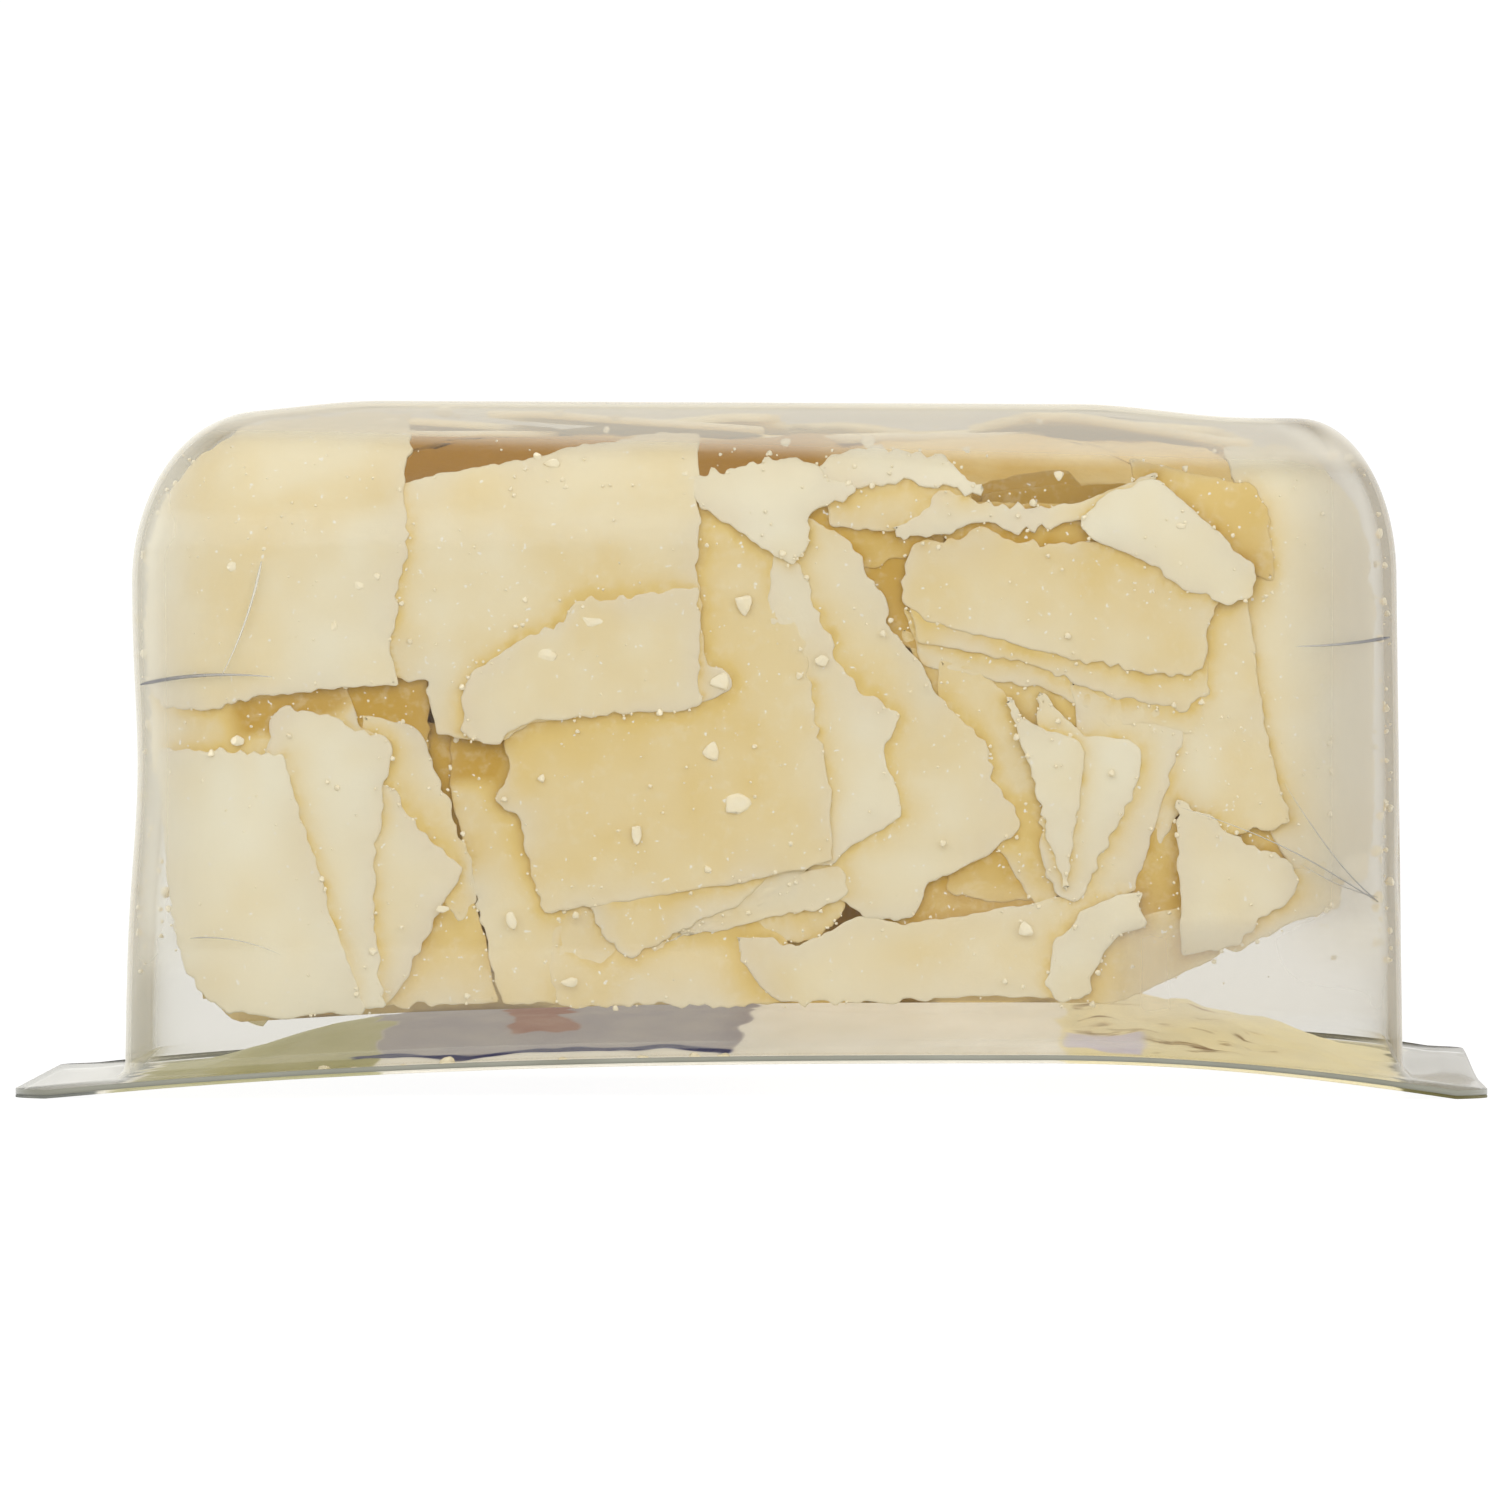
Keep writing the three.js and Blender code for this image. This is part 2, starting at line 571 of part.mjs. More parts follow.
const RIGHT_END = STRAIGHT_X + ARC;
const BACK_START = RIGHT_END + 2 * STRAIGHT_Y;
const BACK_END = BACK_START + 2 * (ARC + STRAIGHT_X);
const LEFT_END = BACK_END + 2 * STRAIGHT_Y;
const AROUND_WALLS = [
  { from: [RIGHT_END + 8, 25], to: [BACK_START + 6, 58], columns: 2, rows: 2, seed: 300, low: 3.4, high: 5 },
  { from: [BACK_START + 16, 9], to: [BACK_END - 8, 58], columns: 5, rows: 3, seed: 500 },
  { from: [BACK_END + 2, 18], to: [LEFT_END - 8, 58], columns: 2, rows: 2, seed: 900, low: 3.4, high: 5 },
].flatMap((stretch) => laidOver({ place: wallPoint, ...stretch }));
const UNDER_TOP = laidOver({
  place: topPoint,
  from: [-46, -22],
  to: [47, 31],
  columns: 4,
  rows: 2,
  seed: 1300,
  low: 1.2,
  high: 3,
});

function heapGeometry() {
  const pieces = [...FRONT.map((one) => ({ place: frontPoint, ...one })), ...AROUND_WALLS, ...UNDER_TOP];
  const core = interior(CORE_DEPTH, CORE_TOP_DEPTH, coreUnderside, []);
  const slabs = pieces.map((one, k) => shavingSolid(one, k + 1));
  const heap = wasm.Manifold.union([core, ...slabs]);
  const room = interior(CLEARANCE, CLEARANCE, heapFloor, FLOOR_RINGS);
  const bodies = heap.intersect(room).decompose();
  bodies.sort((a, b) => b.volume() - a.volume());
  return geometryFrom(bodies[0]);
}

// ---------- the pack ----------
function piece(name, geometry, material) {
  const mesh = new THREE.Mesh(geometry, new THREE.MeshStandardMaterial(material));
  mesh.name = name;
  return mesh;
}

const pack = new THREE.Group();
pack.add(
  piece("tub", tubGeometry(), {
    color: 0xe4e4dc,
    roughness: 0.12,
    metalness: 0,
    transparent: true,
    opacity: 0.25,
  }),
  piece("lid", lidGeometry(), { color: 0xdedbcb, roughness: 0.35, metalness: 0 }),
  piece("shavings", heapGeometry(), { color: 0xe6d3a3, roughness: 0.55, metalness: 0 }),
);

export default pack;
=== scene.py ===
"""The looks of a sealed clear tub of grana padano shavings, which lies on its printed lid.

Shapes are worked out in millimetres, in the frame's own axes, and turned to metres as each mesh is made.
"""
import math

import bmesh
import bpy
import numpy as np
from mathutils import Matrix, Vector
from mathutils.geometry import delaunay_2d_cdt


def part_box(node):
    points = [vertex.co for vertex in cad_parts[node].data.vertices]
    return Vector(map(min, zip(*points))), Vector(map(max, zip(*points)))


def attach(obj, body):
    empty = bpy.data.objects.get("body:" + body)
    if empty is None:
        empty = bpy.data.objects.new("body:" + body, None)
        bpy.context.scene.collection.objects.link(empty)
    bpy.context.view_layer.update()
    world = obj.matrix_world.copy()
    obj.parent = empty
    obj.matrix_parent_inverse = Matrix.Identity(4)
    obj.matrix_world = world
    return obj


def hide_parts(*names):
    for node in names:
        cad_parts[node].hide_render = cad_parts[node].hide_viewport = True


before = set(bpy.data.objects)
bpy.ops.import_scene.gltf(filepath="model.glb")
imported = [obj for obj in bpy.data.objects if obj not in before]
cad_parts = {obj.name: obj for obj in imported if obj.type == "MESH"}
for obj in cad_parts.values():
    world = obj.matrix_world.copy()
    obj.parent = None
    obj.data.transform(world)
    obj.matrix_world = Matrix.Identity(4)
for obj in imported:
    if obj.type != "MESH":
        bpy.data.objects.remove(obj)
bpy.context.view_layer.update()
MM = 0.001

# ---------- sizes of the pack, in mm: the same as the solids' ----------
TUB_LOW, TUB_HIGH = (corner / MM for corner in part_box("tub"))
FLANGE_LENGTH = TUB_HIGH.x - TUB_LOW.x
FLANGE_WIDTH = TUB_HIGH.y - TUB_LOW.y
FLANGE_CORNER = 8.0
TUB_LENGTH = FLANGE_LENGTH - 16.8
TUB_WIDTH = FLANGE_WIDTH - 15.0
TUB_CORNER = 14.0
TUB_SHIFT = 1.0
TUB_HEIGHT = 62.6
SHEET = 0.5
FILM = 0.2
SEAL = 0.1
ROUND_IN = {"left": 11.5, "side": 9.0, "right": 9.0}
ROUND_DOWN = {"left": 16.0, "side": 14.0, "right": 15.0}
BASE_ROUND = 1.2
DRAFT = 0.6
ARCH = 3.3
ARCH_PEAK_X = 27.0
ARCH_POWER = {"left": 2.8, "right": 1.9}
REST_STRIP = 3.0
CORNER_LIFT = 1.7
LIFT_RISE = {"x": (20, 47), "y": (-15, 62)}  # where the corner's lift starts, and over how much it rises
CROWN = 1.2
CROWN_TILT = 0.005
CROWN_MIDDLE = -2
CROWN_HALF = {"long": 48, "wide": 52}
CROWN_FALL = {"long": 16, "wide": 20}
WALL_SAG = 0.9
SAG_HALF = 60
END_WAIST = 0.8
WAIST_HEIGHT = 29
WAIST_REACH = 11
DOME = 3.8
DOME_RISE = {"end": 26.0, "side": 22.0}

# ---------- number helpers ----------
def clamp(values, low=0.0, high=1.0):
    return np.minimum(high, np.maximum(low, values))


def smooth(t):
    t = clamp(t)
    return t * t * (3.0 - 2.0 * t)


def mix(a, b, t):
    return a + (b - a) * t


def ramp(value, start, width):
    """Rises smoothly from 0 at start to 1 a width further on. With a width below 0 it falls."""
    return smooth((value - start) / width)


SCATTER = (127.1, 311.7, 74.7, 43758.5453)  # uneven factors that scatter the values of a sine


def lattice(ix, iy, seed):
    """A repeatable number from -1 to 1 at each whole ix, iy."""
    wave = np.sin(ix * SCATTER[0] + iy * SCATTER[1] + seed * SCATTER[2]) * SCATTER[3]
    return 2.0 * (wave - np.floor(wave)) - 1.0


def noise(x, y, size, seed):
    """Smooth uneven waves from -1 to 1, size mm apart."""
    x = np.asarray(x, float) / size
    y = np.asarray(y, float) / size
    ix, iy = np.floor(x), np.floor(y)
    fx, fy = smooth(x - ix), smooth(y - iy)
    low = mix(lattice(ix, iy, seed), lattice(ix + 1, iy, seed), fx)
    high = mix(lattice(ix, iy + 1, seed), lattice(ix + 1, iy + 1, seed), fx)
    return mix(low, high, fy)


# ---------- the pack's soft shape ----------
def arch_at(x, y):
    """How far the lid stands off the table."""
    half = FLANGE_LENGTH / 2 - REST_STRIP
    reach = np.where(x < ARCH_PEAK_X, half + ARCH_PEAK_X, half - ARCH_PEAK_X)
    power = np.where(x < ARCH_PEAK_X, ARCH_POWER["left"], ARCH_POWER["right"])
    share = clamp(np.abs(x - ARCH_PEAK_X) / reach)
    lift = CORNER_LIFT * ramp(x, *LIFT_RISE["x"]) * ramp(y, *LIFT_RISE["y"])
    return ARCH * (1 - share**power) + lift


def dome_at(x, y):
    """How far the lid film bulges into the tub."""
    along = smooth((TUB_LENGTH / 2 - np.abs(x - TUB_SHIFT)) / DOME_RISE["end"])
    across = smooth((TUB_WIDTH / 2 - np.abs(y)) / DOME_RISE["side"])
    return DOME * along * across


def crown_at(x, y):
    """How far the tub's base bulges over its nominal height."""
    long = smooth((CROWN_HALF["long"] - np.abs(x - CROWN_MIDDLE)) / CROWN_FALL["long"])
    wide = smooth((CROWN_HALF["wide"] - np.abs(y)) / CROWN_FALL["wide"])
    return CROWN * long * wide - CROWN_TILT * x


def warp(x, y, z):
    """Takes points of the nominal pack to where the soft pack has them."""
    up = clamp(z / TUB_HEIGHT)
    across = clamp(np.abs(y) / (TUB_WIDTH / 2))
    along = clamp((TUB_SHIFT - x) / (TUB_LENGTH / 2))
    sag = WALL_SAG * np.sin(math.pi * up) * smooth(1 - np.abs(x) / SAG_HALF) * across**3
    waist = END_WAIST * np.exp(-(((z - WAIST_HEIGHT) / WAIST_REACH) ** 2)) * along**3
    height = z + arch_at(x, y) * (1 - up) + crown_at(x, y) * up**3
    return np.stack([x + waist, y - np.sign(y) * sag, height], -1)


STRAIGHT_X = TUB_LENGTH / 2 - TUB_CORNER
STRAIGHT_Y = TUB_WIDTH / 2 - TUB_CORNER
ARC = math.pi / 2 * TUB_CORNER
AROUND = 4 * (STRAIGHT_X + STRAIGHT_Y + ARC)
# Each run round the outline: its length, where it starts or its corner's middle, and its normal's angle.
RUNS = [
    (STRAIGHT_X, False, (0, -1), -90),
    (ARC, True, (1, -1), -90),
    (2 * STRAIGHT_Y, False, (1, -1), 0),
    (ARC, True, (1, 1), 0),
    (2 * STRAIGHT_X, False, (1, 1), 90),
    (ARC, True, (-1, 1), 90),
    (2 * STRAIGHT_Y, False, (-1, 1), 180),
    (ARC, True, (-1, -1), 180),
    (STRAIGHT_X, False, (-1, -1), 270),
]


def outline(s):
    """The tub's outline at its foot, s mm from the middle of the front wall towards +X: x, y and normal."""
    rest = np.mod(np.asarray(s, float), AROUND)
    x, y, nx, ny = (np.zeros_like(rest) for _ in range(4))
    start = 0.0
    for length, corner, (cx, cy), turn in RUNS:
        here = (rest >= start) & (rest <= start + length)
        run = rest[here] - start
        angle = math.radians(turn) + (run / TUB_CORNER if corner else 0 * run)
        nx[here], ny[here] = np.cos(angle), np.sin(angle)
        slide = 0 if corner else run
        x[here] = cx * STRAIGHT_X + TUB_CORNER * nx[here] - slide * ny[here]
        y[here] = cy * STRAIGHT_Y + TUB_CORNER * ny[here] + slide * nx[here]
        start += length
    return x, y, nx, ny


def round_at(sizes, nx):
    """A rounding's size where the outline's normal has this x."""
    return mix(sizes["side"], np.where(nx < 0, sizes["left"], sizes["right"]), nx**2)


def wall_point(s, v, depth=0.0):
    """The tub's skin at s round it and v up it, or depth behind the skin."""
    x, y, nx, ny = outline(s)
    inward, down = round_at(ROUND_IN, nx), round_at(ROUND_DOWN, nx)
    wall_top = TUB_HEIGHT - down
    arc = math.pi / 2 * np.sqrt((inward**2 + down**2) / 2)
    angle = clamp((v - wall_top) / arc) * math.pi / 2
    slope = np.hypot(np.cos(angle) / inward, np.sin(angle) / down)
    level = np.cos(angle) / inward / slope
    rise = np.sin(angle) / down / slope
    inset = inward * (1 - np.cos(angle)) + depth * level + DRAFT * clamp(v / wall_top)
    z = np.minimum(v, wall_top) + down * np.sin(angle) - depth * rise
    return warp(x - inset * nx + TUB_SHIFT, y - inset * ny, z)


def skin_top(s):
    """How far up the skin the rounding ends."""
    nx = outline(s)[2]
    inward, down = round_at(ROUND_IN, nx), round_at(ROUND_DOWN, nx)
    return TUB_HEIGHT - down + math.pi / 2 * np.sqrt((inward**2 + down**2) / 2)


FURTHEST_ROUND = 0.97  # how far round a corner or an edge the front view still places things


def front_place(x, z):
    """Where on the skin, as s and v, the front wall shows x and z."""
    from_middle = x - TUB_SHIFT
    bend = clamp((np.abs(from_middle) - STRAIGHT_X) / TUB_CORNER, 0, FURTHEST_ROUND)
    straight = np.minimum(np.abs(from_middle), STRAIGHT_X)
    s = np.sign(from_middle) * (straight + TUB_CORNER * np.arcsin(bend))
    lift = arch_at(x, -TUB_WIDTH / 2)
    level = (z - lift) / (1 - lift / TUB_HEIGHT)
    wall_top = TUB_HEIGHT - round_at(ROUND_DOWN, outline(s)[2])
    over = np.arcsin(clamp((level - wall_top) / (TUB_HEIGHT - wall_top), 0, FURTHEST_ROUND)) / (math.pi / 2)
    return s, np.minimum(level, wall_top) + over * (skin_top(s) - wall_top)


def front_point(x, z, depth):
    """The point depth behind the skin where the front wall shows x and z."""
    s, v = front_place(x, z)
    return wall_point(s, v, depth)


def top_point(x, y, depth):
    """The point depth under the tub's base."""
    return warp(x, y, TUB_HEIGHT - depth)


# ---------- meshes ----------
def new_object(name, points, faces, material, attributes=None):
    """An object from points in mm, with one number for each point in every attribute."""
    mesh = bpy.data.meshes.new(name)
    mesh.from_pydata((np.asarray(points) * MM).tolist(), [], np.asarray(faces).tolist())
    for key, values in (attributes or {}).items():
        layer = mesh.attributes.new(key, "FLOAT", "POINT")
        layer.data.foreach_set("value", np.asarray(values, np.float32))
    mesh.polygons.foreach_set("use_smooth", [True] * len(mesh.polygons))
    mesh.materials.append(material)
    mesh.validate()
    mesh.update()
    thing = bpy.data.objects.new(name, mesh)
    bpy.context.scene.collection.objects.link(thing)
    return thing


def strip_faces(count, low, high):
    """Triangles between two rings of count points that start at low and high."""
    i = np.arange(count)
    j = (i + 1) % count
    a, b, c, d = low + i, low + j, high + j, high + i
    return np.concatenate([np.stack([a, b, c], -1), np.stack([a, c, d], -1)])


def cap_faces(count, ring, tip, flip=False):
    """Triangles between a ring of count points and a tip."""
    i = np.arange(count)
    j = (i + 1) % count
    tips = np.full(count, tip)
    order = [ring + j, ring + i, tips] if flip else [ring + i, ring + j, tips]
    return np.stack(order, -1)


def ring_faces(rings, count, start=0):
    """Triangles between each ring and the next."""
    lows = [start + k * count for k in range(rings - 1)]
    return np.concatenate([strip_faces(count, low, low + count) for low in lows])


def closed(rings, flip=False):
    """Points and triangles of a body through rings of points, with a tip in its last and its first ring."""
    count = len(rings[0])
    total = count * len(rings)
    last = cap_faces(count, total - count, total)
    first = cap_faces(count, 0, total + 1, flip=True)
    faces = np.concatenate([ring_faces(len(rings), count), last, first])
    tips = np.stack([rings[-1].mean(0), rings[0].mean(0)])
    return np.concatenate(rings + [tips]), faces[:, ::-1] if flip else faces


class Pile:
    """Points, faces and attributes of many small pieces that become one mesh."""

    def __init__(self):
        self.points, self.faces, self.values = [], [], {}
        self.count = 0

    def add(self, points, faces, **values):
        self.points.append(points)
        self.faces.append(np.asarray(faces) + self.count)
        self.count += len(points)
        for key, value in values.items():
            self.values.setdefault(key, []).append(np.broadcast_to(value, len(points)))

    def to_object(self, name, material):
        attributes = {key: np.concatenate(rows) for key, rows in self.values.items()}
        return new_object(name, np.concatenate(self.points), np.concatenate(self.faces), material, attributes)


# ---------- material helpers ----------
class Nodes:
    """A material's node tree with short calls."""

    def __init__(self, name):
        self.material = bpy.data.materials.new(name)
        self.material.use_nodes = True
        self.tree = self.material.node_tree
        self.tree.nodes.clear()
        self.output = self.add("ShaderNodeOutputMaterial")

    def add(self, kind, inputs=None, **settings):
        node = self.tree.nodes.new(kind)
        for key, value in settings.items():
            setattr(node, key, value)
        for key, value in (inputs or {}).items():
            self.put(node.inputs[key], value)
        return node

    def put(self, socket, value):
        if isinstance(value, bpy.types.NodeSocket):
            self.tree.links.new(value, socket)
        else:
            socket.default_value = value

    def noise(self, size_mm, detail=3.0, roughness=0.5, stretch=None):
        place = self.add("ShaderNodeTexCoord").outputs["Object"]
        if stretch:
            mapping = self.add("ShaderNodeMapping", {"Vector": place, "Scale": stretch})
            place = mapping.outputs["Vector"]
        settings = {"Vector": place, "Scale": 1 / (size_mm * MM), "Detail": detail, "Roughness": roughness}
        return self.add("ShaderNodeTexNoise", settings).outputs["Fac"]

    def attribute(self, name):
        return self.add("ShaderNodeAttribute", attribute_name=name).outputs["Fac"]

    def span(self, value, low, high, to_low=0.0, to_high=1.0):
        """Stretches the range low to high of value to another range, and cuts it off there."""
        settings = {"Value": value, "From Min": low, "From Max": high, "To Min": to_low, "To Max": to_high}
        return self.add("ShaderNodeMapRange", settings, clamp=True).outputs["Result"]

    def blend(self, share, first, second):
        node = self.add("ShaderNodeMix", data_type="RGBA")
        self.put(node.inputs["Factor"], share)
        self.put(node.inputs["A"], first)
        self.put(node.inputs["B"], second)
        return node.outputs["Result"]

    def math(self, operation, *values):
        node = self.add("ShaderNodeMath", operation=operation)
        for socket, value in zip(node.inputs, values):
            self.put(socket, value)
        return node.outputs["Value"]

    def bump(self, height, strength, distance_mm):
        settings = {"Height": height, "Strength": strength, "Distance": distance_mm * MM}
        return self.add("ShaderNodeBump", settings).outputs["Normal"]

    def surface(self, colour, roughness, **more):
        """A solid surface. Names in more have _ for each blank."""
        settings = {"Base Color": colour, "Roughness": roughness}
        settings.update({key.replace("_", " "): value for key, value in more.items()})
        return self.add("ShaderNodeBsdfPrincipled", settings).outputs["BSDF"]

    def mixed(self, share, first, second):
        return self.add("ShaderNodeMixShader", {0: share, 1: first, 2: second}).outputs[0]

    def finish(self, shader):
        self.tree.links.new(shader, self.output.inputs["Surface"])
        return self.material


def rgb(red, green, blue):
    """A linear colour from the 0 to 255 values that it shows as."""
    def linear(c):
        c /= 255
        return c / 12.92 if c <= 0.04045 else ((c + 0.055) / 1.055) ** 2.4
    return (linear(red), linear(green), linear(blue), 1.0)


# ---------- materials ----------
def cheese_material():
    """Pale hard cheese: tan faces, paler crumbly edges, fine grain and small white grains. Its tone also
    carries painted shade: darker and more orange in gaps and beside shavings in front.
    """
    nodes = Nodes("cheese")
    tone = nodes.attribute("tone")
    rim = nodes.attribute("rim")
    # Tones past 1 turn darker and more orange: painted shade, in gaps and beside shavings in front.
    face = nodes.blend(nodes.span(tone, 0, 1), rgb(252, 247, 226), rgb(240, 213, 137))
    face = nodes.blend(nodes.span(tone, 1, 2), face, rgb(211, 170, 66))
    mottle = nodes.span(nodes.noise(1.1, 2, 0.6), 0.52, 0.7)
    face = nodes.blend(nodes.math("MULTIPLY", mottle, 0.2), face, rgb(252, 245, 220))
    edge = nodes.blend(nodes.math("MULTIPLY", rim, 0.85), face, rgb(255, 251, 234))
    grains = nodes.span(nodes.noise(0.55, 1, 0.5), 0.72, 0.76)
    colour = nodes.blend(grains, edge, rgb(255, 252, 242))
    grainy = nodes.bump(nodes.noise(0.6, 2, 0.6), 0.2, 0.12)
    surface = nodes.surface(colour, 0.55, Specular_IOR_Level=0.3, Normal=grainy)
    glow = nodes.blend(0.4, colour, rgb(255, 236, 160))
    through = nodes.add("ShaderNodeBsdfTranslucent", {"Color": glow, "Normal": grainy})
    thin = nodes.math("MULTIPLY_ADD", rim, 0.2, 0.16)
    return nodes.finish(nodes.mixed(thin, surface, through.outputs[0]))


def core_material():
    """The inside of the heap, which shows only down the gaps, and is painted darker as shade, darkest under
    the tub's base.
    """
    nodes = Nodes("heap_core")
    patches = nodes.span(nodes.noise(5, 3), 0.35, 0.65)
    colour = nodes.blend(patches, rgb(226, 192, 108), rgb(237, 212, 146))
    # Painted shade: the core goes dark brown where its tone is high.
    colour = nodes.blend(nodes.attribute("tone"), colour, rgb(166, 118, 2))
    return nodes.finish(nodes.surface(colour, 0.6, Normal=nodes.bump(nodes.noise(1.2, 4), 0.5, 0.4)))


def crumb_material():
    nodes = Nodes("crumb")
    colour = nodes.blend(nodes.noise(0.8, 2), rgb(250, 244, 224), rgb(243, 229, 192))
    return nodes.finish(nodes.surface(colour, 0.6, Normal=nodes.bump(nodes.noise(0.2, 3), 0.3, 0.08)))


CLEAR_AHEAD = (0.91, 0.905, 0.89, 1)  # what one side of the sheet lets through straight ahead
CLEAR_ASLANT = (0.86, 0.855, 0.83, 1)


def clear_material():
    """The sheet's outer side: it lets light through, greys at a slant, and has a thin haze and a gloss. The
    haze is partly real and partly painted reflection, greyer where the dull attribute marks it.
    """
    nodes = Nodes("clear_plastic")
    slant = nodes.add("ShaderNodeLayerWeight", {"Blend": 0.5}).outputs["Facing"]
    slant2 = nodes.math("MULTIPLY", slant, slant)
    slant5 = nodes.math("MULTIPLY", nodes.math("MULTIPLY", slant2, slant2), slant)
    tint = nodes.blend(slant2, CLEAR_AHEAD, CLEAR_ASLANT)
    through = nodes.add("ShaderNodeBsdfTransparent", {"Color": tint})
    # The haze is painted greyer where dull is high: painted reflection.
    haze_and_reflection = nodes.blend(nodes.attribute("dull"), rgb(240, 237, 223), rgb(200, 194, 180))
    haze = nodes.add("ShaderNodeBsdfDiffuse", {"Color": haze_and_reflection})
    veil = nodes.math("MULTIPLY_ADD", nodes.math("MULTIPLY", slant2, slant2), 0.9, nodes.attribute("veil"))
    body = nodes.mixed(veil, through.outputs[0], haze.outputs[0])
    gloss = nodes.add("ShaderNodeBsdfGlossy", {"Color": (1, 1, 1, 1), "Roughness": 0.05})
    mirror = nodes.math("MULTIPLY_ADD", slant5, 0.42, 0.018)
    return nodes.finish(nodes.mixed(mirror, body, gloss.outputs[0]))


def inner_material():
    """The sheet's inner side only lets light through; its outer side has the haze and the gloss."""
    nodes = Nodes("clear_inner")
    slant = nodes.add("ShaderNodeLayerWeight", {"Blend": 0.5}).outputs["Facing"]
    tint = nodes.blend(nodes.math("MULTIPLY", slant, slant), CLEAR_AHEAD, CLEAR_ASLANT)
    return nodes.finish(nodes.add("ShaderNodeBsdfTransparent", {"Color": tint}).outputs[0])


def fold_material():
    """Where the sheet is creased it turns light aside, and this is painted: dark and bluish as painted shade,
    pale as a painted highlight where dark is 0.
    """
    nodes = Nodes("fold")
    patchy = nodes.blend(nodes.noise(4, 2), rgb(236, 234, 222), rgb(226, 224, 214))
    # Painted shade where dark is high; a painted highlight where it is 0.
    colour = nodes.blend(nodes.attribute("dark"), patchy, rgb(92, 96, 116))
    clear = nodes.add("ShaderNodeBsdfTransparent", {"Color": (0.9, 0.9, 0.9, 1)})
    return nodes.finish(nodes.mixed(0.5, clear.outputs[0], nodes.surface(colour, 0.2)))


def edge_material():
    """The cut edge of the flange, which gathers no light and looks dark: painted dark grey, as shade."""
    nodes = Nodes("cut_edge")
    colour = nodes.blend(nodes.noise(9, 2), rgb(112, 112, 98), rgb(146, 146, 134))
    return nodes.finish(nodes.surface(colour, 0.25))


# ---------- the tub ----------
FLANGE_UNDER = FILM + SEAL
FLANGE_TOP = FLANGE_UNDER + SHEET
FOOT_OUT = BASE_ROUND - 0.4 * SHEET
FINE_REACH = 76.0  # the skin is finest this far to each side of the front wall's middle
FINE_STEP = 0.55
COARSE_STEP = 2.0
WALL_STEP = 0.7


def stations():
    """Places round the tub: close together on the front wall and its corners, wider on the others."""
    fine = np.arange(-FINE_REACH, FINE_REACH, FINE_STEP)
    rest = AROUND - 2 * FINE_REACH
    coarse = FINE_REACH + np.arange(0, rest, rest / round(rest / COARSE_STEP))
    places = np.concatenate([fine, coarse])
    return places if len(places) % 2 == 0 else places[:-1]


STATIONS = stations()


def flange_ring(z):
    """The flange's outline at z."""
    x, y, nx, ny = outline(STATIONS)
    scale_x = (FLANGE_LENGTH / 2 - FLANGE_CORNER) / STRAIGHT_X
    scale_y = (FLANGE_WIDTH / 2 - FLANGE_CORNER) / STRAIGHT_Y
    return warp(
        (x - TUB_CORNER * nx) * scale_x + FLANGE_CORNER * nx,
        (y - TUB_CORNER * ny) * scale_y + FLANGE_CORNER * ny,
        np.full_like(x, z),
    )


def foot_ring(out, z):
    """A ring out mm outside the tub's foot at z."""
    x, y, nx, ny = outline(STATIONS)
    return warp(x + out * nx + TUB_SHIFT, y + out * ny, np.full_like(x, z))


# Folds in the sheet, seen from the front: the line's two ends, how far its middle stands off the straight
# way between them, how wide the fold is, and how dark its painted shade is (0 is a pale one, a painted
# highlight).
FOLDS = [
    {"from": (-57.3, 37.7), "to": (-44.0, 38.4), "bow": 0.55, "wide": 0.42, "dark": 1.0},
    {"from": (59.2, 42.2), "to": (50.1, 41.4), "bow": 0.2, "wide": 0.4, "dark": 1.0},
    {"from": (58.0, 17.8), "to": (49.0, 28.8), "bow": 0.5, "wide": 0.16, "dark": 0.55},
    {"from": (58.0, 17.8), "to": (39.2, 26.6), "bow": -0.8, "wide": 0.16, "dark": 0.55},
    {"from": (58.0, 18.2), "to": (50.5, 21.4), "bow": 0.3, "wide": 0.14, "dark": 0.5},
    {"from": (-51.7, 14.5), "to": (-43.1, 13.0), "bow": 0.6, "wide": 0.14, "dark": 0.4},
    {"from": (-45.0, 48.9), "to": (-49.2, 38.3), "bow": 0.5, "wide": 0.3, "dark": 0.0},
]
FOLD_STEPS = 40
FOLD_START = (0.15, 8)  # how wide a fold starts, and how fast it widens
FOLD_FADE = {"proud": 0.7, "dark": 0.8}  # how much of its height and its darkness a fold loses to its end
# The four edges of a fold: how far to the side each is, and how proud of the sheet.
FOLD_EDGES = [(-1, -0.03), (0, 0.12), (1, -0.03), (0, -0.1)]
# The pushed-in facet at the right front corner: its tip, its middle and its size.
DENT_AT = (55.0, 20.5)
DENT_SIZE = (5.5, 5.0)
DENT_DEPTH = 0.5


def dip_at(s, v):
    """How far the skin is pushed in, on the front only."""
    x, _, z = np.moveaxis(wall_point(s, v), -1, 0)
    along, up = (x - DENT_AT[0]) / DENT_SIZE[0], (z - DENT_AT[1]) / DENT_SIZE[1]
    return DENT_DEPTH * np.exp(-(along**2) - up**2) * (outline(s)[3] < 0)


